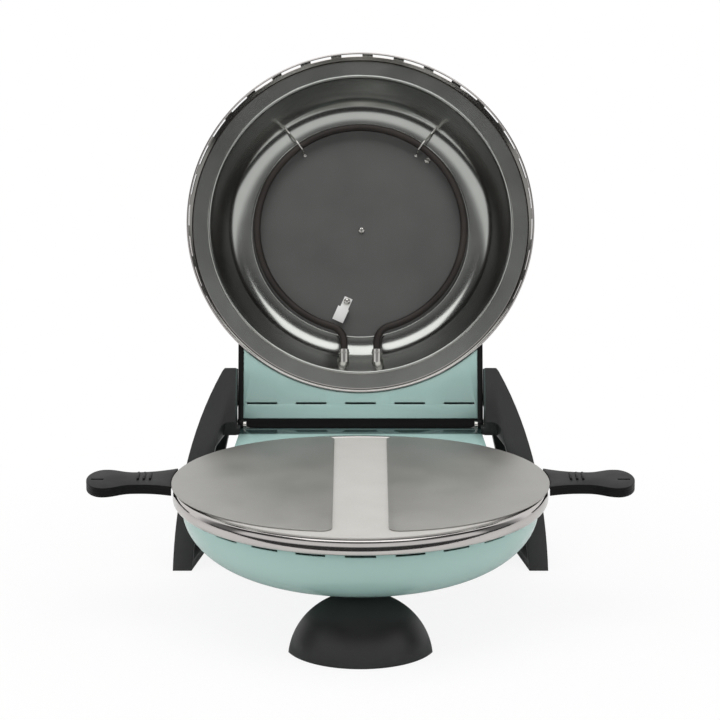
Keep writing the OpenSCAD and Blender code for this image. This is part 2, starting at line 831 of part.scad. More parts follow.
module lid_hinge_frame() {
    color([0.06, 0.06, 0.06]) swung_open() difference() {
        union() {
            from_lip() {
                both_sides()
                    translate([cover_half, hinge_y - cheek_l, frame_low])
                        cube([cheek_t, cheek_l - pin_r, cheek_h - frame_low]);
                translate([0, wall_y + fit, strip_low])
                    linear_extrude(cheek_h - strip_low) strip_outline();
            }
            both_sides()
                translate([cover_half, hinge_y, 0]) {
                    rotate([0, 90, 0]) cylinder(r = pin_r + 3, h = cheek_t);
                    translate([0, -pin_r - 3, 0]) cube([cheek_t, 2 * pin_r + 6, lip_z + frame_low + 4]);
                    // Heel that meets the stop on the leg
                    rotate([open_angle, 0, 0])
                        translate([box_half - cover_half + 1, -heel_r, -heel_h])
                            cube([cheek_t - (box_half - cover_half) - 1, heel_r, heel_h]);
                }
        }
        from_lip() lid_solid(fit);
        both_sides()
            translate([cover_half - 1, hinge_y, 0])
                rotate([0, 90, 0]) cylinder(r = pin_r + run_fit, h = cheek_t + 2);
        from_lip() both_sides() frame_screw_holes(2);
    }
}

module frame_screws() {
    color([0.75, 0.75, 0.75]) swung_open() from_lip() both_sides()
        for (y = frame_screw_y)
            translate([cover_half - shell_t - nut_t, y, frame_screw_d])
                rotate([0, 90, 0]) {
                    cylinder(r = 1.5, h = cheek_t + shell_t + nut_t, $fn = 32);
                    cylinder(r = 3, h = nut_t, $fn = 32);
                }
}

// Reflector's wall, from under its rolled mouth to its floor, moved out by a sheet thickness
function reflector_wall(o) = bezier(
    [mouth_r - 1.5 + o, rim_d + 1.8], [mouth_r - 5.6 + 1.1 * o, rim_d + 12],
    [reflector_wall_r + 15 + o, reflector_floor - 0.1 + o],
    [reflector_wall_r + 0.5 * o, reflector_floor + o], 10);

module lid_reflector() {
    color([0.72, 0.72, 0.70]) swung_open() from_lip() difference() {
        revolve(concat(
            [[rim_r, rim_d + plate_t], [rim_r, rim_d], [mouth_r + 1.5, rim_d]],
            arc([mouth_r, rim_d], 1.5, 1.4, 0, -180, 6),
            reflector_wall(0), [[plate_r - 1, reflector_floor], [plate_r - 1, reflector_floor + plate_t]],
            reverse(reflector_wall(plate_t)), [[mouth_r, rim_d + plate_t]]));
        translate([0, 0, upper_tube_d])
            stub_holes(upper_ring_r + 10, 0, tube_ends / 2, ferrule_r + fit, 45);
    }
}

module reflector_plate() {
    color([0.33, 0.33, 0.32]) swung_open() from_lip() difference() {
        translate([0, 0, reflector_floor + plate_t]) cylinder(r = plate_r + 4, h = plate_t, $fn = 128);
        for (p = plate_screws)
            translate([p[0], p[1], reflector_floor - 1]) cylinder(r = 1.7, h = 6, $fn = 32);
    }
}

module reflector_stud() {
    color([0.75, 0.75, 0.75]) swung_open() from_lip() {
        translate([0, 0, reflector_floor + 2 * plate_t])
            difference() {
                cylinder(r = 5, h = dome_top - shell_t - reflector_floor - 2 * plate_t, $fn = 48);
                translate([0, 0, -1]) cylinder(r = 1.7, h = 8, $fn = 32);
            }
        translate([0, 0, dome_top - shell_t - 1]) cylinder(r = 2, h = shell_t + 2, $fn = 32);
        translate([0, 0, dome_top]) screw_head(5, 2.4);
    }
}

module reflector_screws() {
    color([0.85, 0.85, 0.84]) swung_open() from_lip()
        for (p = plate_screws)
            translate([p[0], p[1], reflector_floor + (p == sensor_at ? 0 : plate_t)])
                rotate([180, 0, 0]) {
                    screw_head(3.2, 2.4);
                    translate([0, 0, -4.5]) cylinder(r = 1.6, h = 5, $fn = 32);
                }
}

module upper_element() {
    color([0.28, 0.26, 0.25]) swung_open() from_lip()
        translate([0, 0, upper_tube_d]) heater(upper_ring_r, upper_stub_y, tube_ends / 2);
}

module upper_ferrules() {
    color([0.85, 0.85, 0.84]) swung_open() from_lip()
        translate([0, 0, upper_tube_d])
            ferrules(upper_ring_r + 18.3, tube_ends / 2, 20);
}

// Side view of a heater clip, as radius and depth: a foot on the dark plate, a post, a bar that
// crosses the tube, and a slope down to a foot on the reflector's floor
function clip_outline() = let (
        post = upper_ring_r - tube_r - fit,
        bar = upper_tube_d - tube_r - fit,
        plate = reflector_floor + plate_t,
        knee = upper_ring_r + tube_r + 1,
        toe = reflector_wall_r - 4)
    [[post - 5, plate], [post - 5, plate - clip_t], [post - clip_t, plate - clip_t],
        [post - clip_t, bar - clip_t], [knee, bar - clip_t], [toe, reflector_floor - clip_t],
        [toe + 3, reflector_floor - clip_t], [toe + 3, reflector_floor], [toe - 0.6, reflector_floor],
        [knee - 0.4, bar], [post, bar], [post, plate]];

module element_clips() {
    color([0.8, 0.8, 0.8]) swung_open() from_lip() both_sides()
        rotate([0, 0, -clip_angle])
            rotate([90, 0, 0])
                linear_extrude(clip_w, center = true) polygon(clip_outline());
}

module sensor_clip() {
    color([0.9, 0.9, 0.88]) swung_open() from_lip()
        translate([sensor_at[0], sensor_at[1], 0])
            rotate([0, 0, 24]) {
                difference() {
                    translate([-4, -4, reflector_floor]) cube([8, 12, plate_t]);
                    translate([0, 0, reflector_floor - 1]) cylinder(r = 1.8, h = 4, $fn = 32);
                }
                translate([-5.5, 8 - eps, upper_tube_d + 2])
                    cube([11, 1, reflector_floor + plate_t - upper_tube_d - 2]);
                translate([-5.5, 8, upper_tube_d + 2]) cube([11, 14, 1]);
            }
}

// Control pod on the lid's front
module pod_block(o, low) {
    translate([-pod_half + o, pod_y - pod_l / 2 + o, low])
        cube([pod_w - 2 * o, pod_l - 2 * o, pod_top - o - low]);
}

module control_housing() {
    color([0.1, 0.1, 0.1]) swung_open() from_lip() difference() {
        pod_block(0, dome_top - 44);
        pod_block(pod_wall, dome_top - 50);
        lid_solid(fit);
        translate([0, knob_y, pod_top - 8]) cylinder(r = shaft_r + run_fit, h = 20);
        translate([lens_x, knob_y, pod_top - 8]) cylinder(r = 5 + fit, h = 20);
    }
}

module lid_handle() {
    color([0.1, 0.1, 0.1]) swung_open() from_lip()
        translate([-pod_half + 6, pod_y - pod_l / 2, dome_top - 2])
            rotate([90, 0, 90])
                linear_extrude(pod_w - 12)
                    polygon(concat([[0, -13]], arc([-grip_out + 6, -6], 6, 6, 250, 90, 8), [[0, 2]]));
}

module thermostat_body() {
    color([0.8, 0.78, 0.72]) swung_open() from_lip()
        translate([0, knob_y, pod_top - pod_wall])
            difference() {
                union() {
                    translate([-16, -12, -9]) cube([32, 24, 9]);
                    translate([-4, -4, -12]) cube([8, 8, 4]);
                }
                translate([0, 0, -7]) cylinder(r = shaft_r + run_fit, h = 10);
            }
}

module pilot_lens() {
    color([0.85, 0.35, 0.1]) swung_open() from_lip()
        translate([lens_x, knob_y, pod_top - pod_wall - 3]) {
            cylinder(r = 5, h = pod_wall + 4);
            cylinder(r = 6.5, h = 3);
            translate([0, 0, pod_wall + 4]) screw_head(5, 1.6);
        }
}

module thermostat_knob() {
    color([0.12, 0.12, 0.12]) swung_open() from_lip()
        translate([0, knob_y, pod_top + 0.6]) {
            difference() {
                union() {
                    cylinder(r1 = knob_d / 2, r2 = knob_d / 2 - 1.5, h = 6);
                    translate([0, 0, 6]) cylinder(r1 = knob_d / 2 - 6, r2 = knob_d / 2 - 8, h = knob_h - 6);
                }
                for (a = [0:30:330])
                    rotate([0, 0, a + 15])
                        translate([knob_d / 2 - 5.5, 0, 6]) cylinder(r = 2.5, h = knob_h, $fn = 24);
                translate([-0.8, knob_d / 2 - 14, knob_h - 1]) cube([1.6, 8, 2]);
            }
            translate([0, 0, -pod_wall - 7]) cylinder(r = shaft_r, h = pod_wall + 8);
        }
}

// Peel blade outline, for the left peel
function blade_outline() =
    let (cx = -peel_gap / 2 - peel_corner,
        reach = peel_r - peel_corner,
        dy = sqrt(reach * reach - (cx + blade_x) * (cx + blade_x)),
        a = atan2(dy, cx + blade_x))
    concat(arc([-blade_x, blade_y], peel_r, peel_r, a, 360 - a, 60),
        arc([cx, blade_y - dy], peel_corner, peel_corner, 360 - a, 360, 6),
        arc([cx, blade_y + dy], peel_corner, peel_corner, 0, a, 6));

module peel_sheet() {
    color([0.59, 0.59, 0.58]) translate([0, 0, blade_z]) linear_extrude(peel_t)
        union() {
            polygon(blade_outline());
            translate([-root_r - tang_l, grip_y - tang_w / 2]) square([tang_l + 8, tang_w]);
        }
}

// Upper edge of the handle, from its root to its tip, drawn in by an offset
function grip_edge(o) = let (w = grip_w / 2 - o, l = grip_l - o) concat(
    bezier([-4, w * 1.02], [l * 0.16, w * 0.72], [l * 0.28, w * 0.68], [l * 0.44, w * 0.68], 7),
    bezier([l * 0.46, w * 0.68], [l * 0.6, w * 0.7], [l * 0.65, w], [l * 0.79, w], 7),
    arc([l * 0.79, 0], l * 0.21, w, 84, 0, 9));

module grip_outline(o) {
    polygon(concat(grip_edge(o), [for (p = reverse(grip_edge(o))) if (p[1] > 0.1) [p[0], -p[1]]]));
}

module peel_handle() {
    tip = -peel_r - blade_x;
    color([0.14, 0.14, 0.14]) difference() {
        union() {
            translate([tip, grip_y, grip_top - grip_t])
                rotate([0, 0, 180]) linear_extrude(grip_t) grip_outline(0);
            for (i = [0:2])
                translate([tip - 17 - i * 7, grip_y - 4, grip_top - 0.5]) cube([2, rib_l, 0.5 + rib_h]);
        }
        cylinder(r = root_r, h = 3 * grip_t, center = true, $fn = 180);
        translate([-blade_x, blade_y, blade_z - 1]) cylinder(r = peel_r + fit, h = grip_t, $fn = 180);
        translate([-root_r - tang_l - 0.1, grip_y - tang_w / 2 - 0.1, blade_z])
            cube([tang_l + 8, tang_w + 0.2, peel_t]);
        translate([tip - grip_l + 4.2, grip_y - 2.4, grip_top - grip_t - 1])
            cube([hang_slot[0], hang_slot[1], grip_t + 2]);
        for (z = [grip_top - 3.4, grip_top - 6.2])
            translate([tip, grip_y, z])
                rotate([0, 0, 180])
                    linear_extrude(groove_w)
                        difference() {
                            grip_outline(-1);
                            grip_outline(groove_w);
                        }
        peel_rivet_holes(2 + run_fit);
    }
}

module peel_rivet_holes(radius) {
    for (y = [grip_y - 9, grip_y + 9])
        translate([-root_r - 8, y, grip_top - grip_t - 1])
            cylinder(r = radius, h = blade_z + peel_t - grip_top + grip_t + 1);
}

module peel_blade() {
    difference() {
        peel_sheet();
        peel_rivet_holes(2 + run_fit);
    }
}

module peel_rivets() {
    color("silver")
        for (y = [grip_y - 9, grip_y + 9])
            translate([-root_r - 8, y, grip_top - grip_t]) {
                cylinder(r = 2, h = blade_z + peel_t - grip_top + grip_t);
                rotate([180, 0, 0]) screw_head(3.4, 1.2);
            }
}

module left_peel_sheet() {
    peel_blade();
}

module left_peel_handle() {
    peel_handle();
}

module left_peel_rivets() {
    peel_rivets();
}

module right_peel_sheet() {
    mirror([1, 0, 0]) peel_blade();
}

module right_peel_handle() {
    mirror([1, 0, 0]) peel_handle();
}

module right_peel_rivets() {
    mirror([1, 0, 0]) peel_rivets();
}

base_shell();
rear_box();
base_service_cover();
base_rim();
baking_stone();
lower_reflector();
reflector_posts();
lower_element();
lower_ferrules();
lower_element_clips();
terminal_block();
cord_gland();
front_foot();
front_foot_pad();
left_leg();
right_leg();
leg_pads();
leg_screws();
base_screws();
hinge_pins();
lid_shell();
lid_band();
lid_rear_cover();
lid_vent_panel();
lid_hinge_frame();
lid_reflector();
reflector_plate();
reflector_stud();
reflector_screws();
upper_element();
upper_ferrules();
element_clips();
sensor_clip();
frame_screws();
control_housing();
lid_handle();
thermostat_body();
pilot_lens();
thermostat_knob();
left_peel_sheet();
left_peel_handle();
left_peel_rivets();
right_peel_sheet();
right_peel_handle();
right_peel_rivets();
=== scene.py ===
"""Dresses the round pizza oven: a finish for every part, and finer meshes where they show.

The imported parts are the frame. Every new mesh is built in metres where its part lies. Lid pieces
are built with the lid shut and are then swung open about the hinge, as the parts were.
"""
import json
import logging
import math
from collections.abc import Callable, Iterable, Sequence
from dataclasses import dataclass, field
from enum import Enum

import bpy
from mathutils import Euler, Matrix, Vector


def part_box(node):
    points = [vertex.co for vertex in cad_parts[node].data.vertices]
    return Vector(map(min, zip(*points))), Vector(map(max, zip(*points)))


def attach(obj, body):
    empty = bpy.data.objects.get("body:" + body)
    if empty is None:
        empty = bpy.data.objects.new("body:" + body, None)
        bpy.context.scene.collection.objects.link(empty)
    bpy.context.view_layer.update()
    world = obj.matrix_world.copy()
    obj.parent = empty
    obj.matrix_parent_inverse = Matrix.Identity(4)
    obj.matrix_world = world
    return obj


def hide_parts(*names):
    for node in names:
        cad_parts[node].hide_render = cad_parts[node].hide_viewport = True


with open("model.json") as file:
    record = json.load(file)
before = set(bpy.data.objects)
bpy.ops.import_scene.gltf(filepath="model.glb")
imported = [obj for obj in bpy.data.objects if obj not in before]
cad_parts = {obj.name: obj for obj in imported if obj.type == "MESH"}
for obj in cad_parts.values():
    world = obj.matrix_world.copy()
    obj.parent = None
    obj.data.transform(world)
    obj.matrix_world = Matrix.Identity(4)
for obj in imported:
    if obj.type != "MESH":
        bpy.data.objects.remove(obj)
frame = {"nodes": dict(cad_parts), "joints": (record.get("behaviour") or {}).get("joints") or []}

LOG = logging.getLogger("pizza_oven")
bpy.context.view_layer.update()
MM = 0.001
SAME_POINT = 0.001 * MM
FULL_TURN = 2 * math.pi
FLAT = math.radians(0.4)

HINGE = next(joint for joint in frame["joints"] if joint["name"] == "lid_hinge")
HINGE_AT = Vector(HINGE["pos_m"])
OPEN_ANGLE = math.radians(max(HINGE["range_deg"]))
SWING = (
    Matrix.Translation(HINGE_AT)
    @ Matrix.Rotation(-OPEN_ANGLE, 4, "X")
    @ Matrix.Translation(-HINGE_AT)
)
SHUT = SWING.inverted()

Point = tuple[float, float]
FaceTest = Callable[[Vector, Vector], bool]


class Place(Enum):
    """The frame that a pattern or a mesh is laid out in."""

    BASE = "base"
    LID = "lid"


class Grain(Enum):
    """The direction of a metal's working marks."""

    NONE = "none"
    STRAIGHT = "straight"
    ROUND = "round"


# Small helpers


def linear(hex_code: str) -> tuple[float, float, float, float]:
    """Turns an sRGB hex colour into linear values.

    Args:
        hex_code: Six hex digits.

    Returns:
        Linear red, green and blue, with an alpha of 1.
    """
    parts = [int(hex_code[i : i + 2], 16) / 255 for i in (0, 2, 4)]
    low = [p / 12.92 if p <= 0.04045 else ((p + 0.055) / 1.055) ** 2.4 for p in parts]
    return (low[0], low[1], low[2], 1.0)


def bezier(a: Point, b: Point, c: Point, d: Point, count: int) -> list[Point]:
    """Gives the points of a cubic curve.

    Args:
        a: First point.
        b: First handle.
        c: Second handle.
        d: Last point.
        count: Number of steps.

    Returns:
        The points, both ends included.
    """
    points = []
    for i in range(count + 1):
        t = i / count
        u = 1 - t
        k = (u**3, 3 * u * u * t, 3 * u * t * t, t**3)
        points.append(
            tuple(k[0] * a[j] + k[1] * b[j] + k[2] * c[j] + k[3] * d[j] for j in (0, 1))
        )
    return points


def arc(
    centre: Point, rx: float, ry: float, start: float, end: float, count: int
) -> list[Point]:
    """Gives the points of an elliptic arc.

    Args:
        centre: The ellipse's centre.
        rx: Radius along the first axis.
        ry: Radius along the second axis.
        start: First angle, in degrees.
        end: Last angle, in degrees.
        count: Number of steps.

    Returns:
        The points, both ends included.
    """
    points = []
    for i in range(count + 1):
        angle = math.radians(start + (end - start) * i / count)
        points.append((centre[0] + rx * math.cos(angle), centre[1] + ry * math.sin(angle)))
    return points


def only(obj: bpy.types.Object) -> None:
    """Selects one object alone and makes it active."""
    bpy.ops.object.select_all(action="DESELECT")
    obj.select_set(True)
    bpy.context.view_layer.objects.active = obj


def edit(obj: bpy.types.Object, kind: str = "VERT") -> None:
    """Opens an object in edit mode with nothing selected.

    Args:
        obj: The mesh object.
        kind: The select mode, VERT, EDGE or FACE.
    """
    only(obj)
    bpy.ops.object.mode_set(mode="EDIT")
    bpy.ops.mesh.select_mode(type=kind)
    bpy.ops.mesh.select_all(action="DESELECT")


def close_edit() -> None:
    """Goes back to object mode."""
    bpy.ops.object.mode_set(mode="OBJECT")


def pick(obj: bpy.types.Object, test: FaceTest) -> int:
    """Selects the faces that pass a test and opens edit mode on them.

    Args:
        obj: The mesh object, in object mode.
        test: Takes a face's centre and its normal, and says whether it is selected.

    Returns:
        How many faces were selected.
    """
    mesh = obj.data
    for group in (mesh.vertices, mesh.edges, mesh.polygons):
        for element in group:
            element.select = False
    total = 0
    for face in mesh.polygons:
        face.select = test(face.center, face.normal)
        total += face.select
    only(obj)
    bpy.ops.object.mode_set(mode="EDIT")
    bpy.ops.mesh.select_mode(type="FACE")
    return total


def tidy(obj: bpy.types.Object) -> None:
    """Merges doubles and turns every face outwards."""
    edit(obj)
    bpy.ops.mesh.select_all(action="SELECT")
    bpy.ops.mesh.remove_doubles(threshold=SAME_POINT)
    bpy.ops.mesh.normals_make_consistent(inside=False)
    close_edit()


def apply_modifier(obj: bpy.types.Object, kind: str, **settings) -> None:
    """Adds a modifier with its settings and applies it.

    Args:
        obj: The mesh object.
        kind: The modifier's type.
        **settings: Its properties.
    """
    only(obj)
    modifier = obj.modifiers.new(kind.title(), kind)
    for key, value in settings.items():
        setattr(modifier, key, value)
    bpy.ops.object.modifier_apply(modifier=modifier.name)


def cut(obj: bpy.types.Object, cutter: bpy.types.Object) -> None:
    """Takes one mesh out of another and removes the cutter."""
    apply_modifier(obj, "BOOLEAN", operation="DIFFERENCE", object=cutter)
    bpy.data.objects.remove(cutter)


def smooth(obj: bpy.types.Object, angle: float = 35) -> None:
    """Shades a mesh smooth up to an angle between faces, in degrees."""
    only(obj)
    bpy.ops.object.shade_smooth_by_angle(angle=math.radians(angle))


def settle(obj: bpy.types.Object, matrix: Matrix | None = None) -> None:
    """Puts an object's place into its mesh.

    Args:
        obj: The mesh object.
        matrix: A last move, in the row frame.
    """
    only(obj)
    if matrix is not None:
        obj.matrix_world = matrix @ obj.matrix_world
    bpy.ops.object.transform_apply(location=True, rotation=True, scale=True)


def chain(name: str, points: Sequence[Vector]) -> bpy.types.Object:
    """Draws a line of edges by extruding one vertex from point to point.

    Args:
        name: The object's name.
        points: The points in order.

    Returns:
        A mesh of edges alone.
    """
    bpy.ops.object.select_all(action="DESELECT")
    bpy.ops.mesh.primitive_plane_add(size=MM, location=points[0])
    obj = bpy.context.object
    obj.name = name
    obj.data.name = name
    settle(obj)
    edit(obj)
    bpy.ops.mesh.select_all(action="SELECT")
    bpy.ops.mesh.merge(type="CENTER")
    for before, after in zip(points, points[1:]):
        bpy.ops.mesh.extrude_vertices_move(
            TRANSFORM_OT_translate={"value": tuple(after - before)}
        )
    close_edit()
    return obj


def lathe(name: str, profile: Sequence[Point], steps: int) -> bpy.types.Object:
    """Spins a profile about the Z axis.

    Args:
        name: The object's name.
        profile: Radius and height of each point. The last equals the first on a closed section.
        steps: Number of steps in a full turn.

    Returns:
        The spun mesh, with its faces outwards.
    """
    obj = chain(name, [Vector((r, 0, z)) for r, z in profile])
    edit(obj)
    bpy.ops.mesh.select_all(action="SELECT")
    bpy.ops.mesh.spin(
        steps=steps, angle=FULL_TURN, center=(0, 0, 0), axis=(0, 0, 1), use_auto_merge=False
    )
    close_edit()
    tidy(obj)
    return obj


def slab(name: str, outline: Sequence[Point], low: float, high: float) -> bpy.types.Object:
    """Extrudes a flat outline upwards.

    Args:
        name: The object's name.
        outline: The corners in the XY plane, without a repeat of the first.
        low: Height of the lower face.
        high: Height of the upper face.

    Returns:
        The closed block.
    """
    points = [Vector((x, y, low)) for x, y in outline]
    obj = chain(name, points + [points[0]])
    edit(obj)
    bpy.ops.mesh.select_all(action="SELECT")
    bpy.ops.mesh.remove_doubles(threshold=SAME_POINT)
    bpy.ops.mesh.edge_face_add()
    bpy.ops.mesh.extrude_region_move(TRANSFORM_OT_translate={"value": (0, 0, high - low)})
    close_edit()
    tidy(obj)
    return obj


@dataclass(frozen=True)
class SlotRing:
    """A ring of slots round the Z axis that stops short of the back. Angles are in degrees."""

    count: int
    share: float
    middle: float
    reach: float
    back_angle: float
    wall_r: float = 0.0

    def holds(self, centre: Vector, _normal: Vector) -> bool:
        """Says whether a face lies in a slot.

        Args:
            centre: The face's centre.
            _normal: The face's normal, which doesn't matter here.

        Returns:
            Whether it does.
        """
        pitch = 360 / self.count
        angle = math.degrees(math.atan2(centre.x, -centre.y))
        off = abs((angle + pitch / 2) % pitch - pitch / 2)
        behind = 180 - abs(angle) < self.back_angle
        level = abs(centre.z - self.middle) < self.reach
        return level and off < self.share * pitch and not behind and centre.xy.length > self.wall_r

    def open(self, obj: bpy.types.Object) -> None:
        """Deletes the slots' faces from a spun skin."""
        total = pick(obj, self.holds)
        bpy.ops.mesh.delete(type="FACE")
        close_edit()
        LOG.info("%s: %d faces cut for slots", obj.name, total)


def refined(
    node: str, name: str, width: float, segments: int = 2, sharp: float = 30
) -> bpy.types.Object:
    """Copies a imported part, merges its triangles and rounds its sharp edges.

    Args:
        node: The part to copy.
        name: The copy's name.
        width: Width of the rounded edges, in metres. With 0 they stay sharp.
        segments: Number of steps across a rounded edge.
        sharp: Angle past which an edge is rounded, in degrees.

    Returns:
        The copy, ready for its finish.
    """
    only(frame["nodes"][node])
    bpy.ops.object.duplicate()
    obj = bpy.context.object
    obj.name = name
    obj.data.name = name
    for key in list(obj.keys()):
        del obj[key]
    obj.parent = None
    obj.data.materials.clear()
    edit(obj)
    bpy.ops.mesh.customdata_custom_splitnormals_clear()
    bpy.ops.mesh.select_all(action="SELECT")
    bpy.ops.mesh.remove_doubles(threshold=2 * SAME_POINT)
    bpy.ops.mesh.dissolve_limited(angle_limit=FLAT)
    close_edit()
    if width > 0:
        apply_modifier(
            obj,
            "BEVEL",
            width=width,
            segments=segments,
            limit_method="ANGLE",
            angle_limit=math.radians(sharp),
            use_clamp_overlap=True,
            miter_outer="MITER_ARC",
        )
    smooth(obj, sharp)
    return obj


# Finishes

# A noise value keeps mostly between these two
NOISE_RANGE = {"From Min": 0.3, "From Max": 0.7}


def add_node(
    tree: bpy.types.NodeTree, kind: str, settings: dict | None = None, **links
) -> bpy.types.Node:
    """Adds a shader node with its settings and links.

    Args:
        tree: The node tree.
        kind: The node's type.
        settings: Properties by name, or input values by their socket's name or number.
        **links: Sockets or plain values for inputs, by input name with _ for a space.

    Returns:
        The node.
    """
    node = tree.nodes.new(kind)
    for key, value in (settings or {}).items():
        if isinstance(key, str) and hasattr(node, key):
            setattr(node, key, value)
        else:
            node.inputs[key].default_value = value
    for key, value in links.items():
        socket = node.inputs[int(key[1:])] if key[0] == "i" and key[1:].isdigit() else None
        socket = socket or node.inputs[key.replace("_", " ")]
        tree.links.new(value, socket)
    return node


def coordinates(tree: bpy.types.NodeTree, place: Place) -> bpy.types.NodeSocket:
    """Gives object coordinates in metres, turned back to the shut lid for a lid piece.

    Args:
        tree: The node tree.
        place: Where the piece lies.

    Returns:
        The socket of the coordinates.
    """
    source = add_node(tree, "ShaderNodeTexCoord").outputs["Object"]
    if place is Place.BASE:
        return source
    turned = add_node(tree, "ShaderNodeMapping", {"vector_type": "POINT"}, Vector=source)
    turned.inputs["Rotation"].default_value = Euler((OPEN_ANGLE, 0, 0))
    turned.inputs["Location"].default_value = SHUT.to_translation()
    return turned.outputs[0]


@dataclass(frozen=True)
class Finish:
    """What all finishes share: a name, a colour and how rough the surface is."""

    name: str
    tint: str
    roughness: float = 0.5
    metallic: float = 0.0
    edge_mm: float = 0.0

    def material(self, place: Place) -> bpy.types.Material:
        """Makes the material, or gives the one made before.

        Args:
            place: The frame of the pieces that wear it.

        Returns:
            The material.
        """
        title = f"{self.name}_{place.value}"
        found = bpy.data.materials.get(title)
        if found:
            return found
        made = bpy.data.materials.new(title)
        made.use_nodes = True
        tree = made.node_tree
        shader = tree.nodes["Principled BSDF"]
        shader.inputs["Base Color"].default_value = linear(self.tint)
        shader.inputs["Roughness"].default_value = self.roughness
        shader.inputs["Metallic"].default_value = self.metallic
        self.dress(tree, shader, coordinates(tree, place))
        return made

    def dress(
        self, tree: bpy.types.NodeTree, shader: bpy.types.Node, at: bpy.types.NodeSocket
    ) -> None:
        """Adds what is special to a finish. The plain finish adds nothing."""

    def cloud(
        self,
        tree: bpy.types.NodeTree,
        at: bpy.types.NodeSocket,
        size_mm: float,
        detail: float = 2.0,
    ) -> bpy.types.NodeSocket:
        """Adds a cloudy pattern whose blots measure about size_mm.

        Args:
            tree: The node tree.
            at: Coordinates in metres.
            size_mm: Size of a blot, in millimetres.
            detail: Octaves of detail.

        Returns:
            The share from 0 to 1, with most of its swing used.
        """
        noise = add_node(
            tree, "ShaderNodeTexNoise", {"Scale": 1000 / size_mm, "Detail": detail}, Vector=at
        )
        return add_node(tree, "ShaderNodeMapRange", NOISE_RANGE, Value=noise.outputs[0]).outputs[0]

    def shade(
        self,
        tree: bpy.types.NodeTree,
        shader: bpy.types.Node,
        share: bpy.types.NodeSocket,
        dark: str,
    ) -> None:
        """Blends the base colour from a darker one to the tint.

        Args:
            tree: The node tree.
            shader: The shader that gets the colour.
            share: The share of the tint, from 0 to 1.
            dark: Colour at 0.
        """
        mix = add_node(tree, "ShaderNodeMix", {"data_type": "RGBA"}, Factor=share)
        mix.inputs[6].default_value = linear(dark)
        mix.inputs[7].default_value = linear(self.tint)
        tree.links.new(mix.outputs[2], shader.inputs["Base Color"])

    def roughen(
        self,
        tree: bpy.types.NodeTree,
        shader: bpy.types.Node,
        share: bpy.types.NodeSocket,
        low: float,
        high: float,
    ) -> None:
        """Runs the roughness between two values.

        Args:
            tree: The node tree.
            shader: The shader that gets the roughness.
            share: The share of the higher value, from 0 to 1.
            low: Roughness at 0.
            high: Roughness at 1.
        """
        rough = add_node(tree, "ShaderNodeMapRange", {"To Min": low, "To Max": high}, Value=share)
        tree.links.new(rough.outputs[0], shader.inputs["Roughness"])

    def relief(
        self,
        tree: bpy.types.NodeTree,
        shader: bpy.types.Node,
        height: bpy.types.NodeSocket | None,
        depth_mm: float,
        strength: float = 1.0,
    ) -> None:
        """Adds bump and, where the finish asks for it, softened edges.

        Args:
            tree: The node tree.
            shader: The shader that gets the normal.
            height: The height value, or None for none.
            depth_mm: Depth of the relief, in millimetres.
            strength: Strength of the bump.
        """
        normal = None
        if self.edge_mm > 0:
            normal = add_node(
                tree, "ShaderNodeBevel", {"samples": 4, "Radius": self.edge_mm * MM}
            ).outputs[0]
        if height is not None:
            bump = add_node(
                tree,
                "ShaderNodeBump",
                {"Strength": strength, "Distance": depth_mm * MM},
                Height=height,
            )
            if normal is not None:
                tree.links.new(normal, bump.inputs["Normal"])
            normal = bump.outputs[0]
        if normal is not None:
            tree.links.new(normal, shader.inputs["Normal"])


@dataclass(frozen=True)
class Enamel(Finish):
    """Stove enamel sprayed on pressed steel: even colour, soft gloss and a faint orange peel."""

    deep: str = "000000"
    cloud_mm: float = 60.0
    swing: float = 0.01
    coat: float = 0.3
    coat_roughness: float = 0.12
    peel_mm: float = 2.4
    peel_depth_mm: float = 0.006
    specular: float = 0.5

    def dress(
        self, tree: bpy.types.NodeTree, shader: bpy.types.Node, at: bpy.types.NodeSocket
    ) -> None:
        """Adds cloudy colour, a clear coat and orange peel."""
        share = self.cloud(tree, at, self.cloud_mm)
        self.shade(tree, shader, share, self.deep)
        self.roughen(
            tree, shader, share, self.roughness - self.swing, self.roughness + self.swing
        )
        shader.inputs["Coat Weight"].default_value = self.coat
        shader.inputs["Coat Roughness"].default_value = self.coat_roughness
        shader.inputs["Specular IOR Level"].default_value = self.specular
        peel = add_node(
            tree, "ShaderNodeTexNoise", {"Scale": 1000 / self.peel_mm, "Detail": 1.0}, Vector=at
        )
        self.relief(tree, shader, peel.outputs[0], self.peel_depth_mm)


@dataclass(frozen=True)
class PaintedShadeEnamel(Enamel):
    """The same enamel on the rear box, with the open lid's shade painted onto its deck."""

    # Painted shade: the deck's top goes to this dark teal from shade_from towards the hinge
    painted_shade_tint: str = "2E4341"
    shade_from: float = 166.0 * MM
    shade_width: float = 4.0 * MM
    deck_depth: float = 3.0 * MM

    def dress(
        self, tree: bpy.types.NodeTree, shader: bpy.types.Node, at: bpy.types.NodeSocket
    ) -> None:
        """Adds the enamel, and paints the open lid's shade on the deck, darker towards the hinge
        side.
        """
        super().dress(tree, shader, at)
        parts = add_node(tree, "ShaderNodeSeparateXYZ", None, Vector=at)
        behind = add_node(
            tree,
            "ShaderNodeMapRange",
            {"From Min": self.shade_from, "From Max": self.shade_from + self.shade_width},
            Value=parts.outputs["Y"],
        )
        on_top = add_node(
            tree,
            "ShaderNodeMapRange",
            {"From Min": -self.deck_depth, "From Max": -self.deck_depth / 2},
            Value=parts.outputs["Z"],
        )
        both = add_node(
            tree,
            "ShaderNodeMath",
            {"operation": "MULTIPLY"},
            i0=behind.outputs[0],
            i1=on_top.outputs[0],
        )
        # Painted shade: the enamel's colour is mixed to dark teal on the deck's top behind
        # shade_from
        painted = shader.inputs["Base Color"].links[0].from_socket
        mix = add_node(tree, "ShaderNodeMix", {"data_type": "RGBA"}, Factor=both.outputs[0])
        tree.links.new(painted, mix.inputs[6])
        mix.inputs[7].default_value = linear(self.painted_shade_tint)
        tree.links.new(mix.outputs[2], shader.inputs["Base Color"])


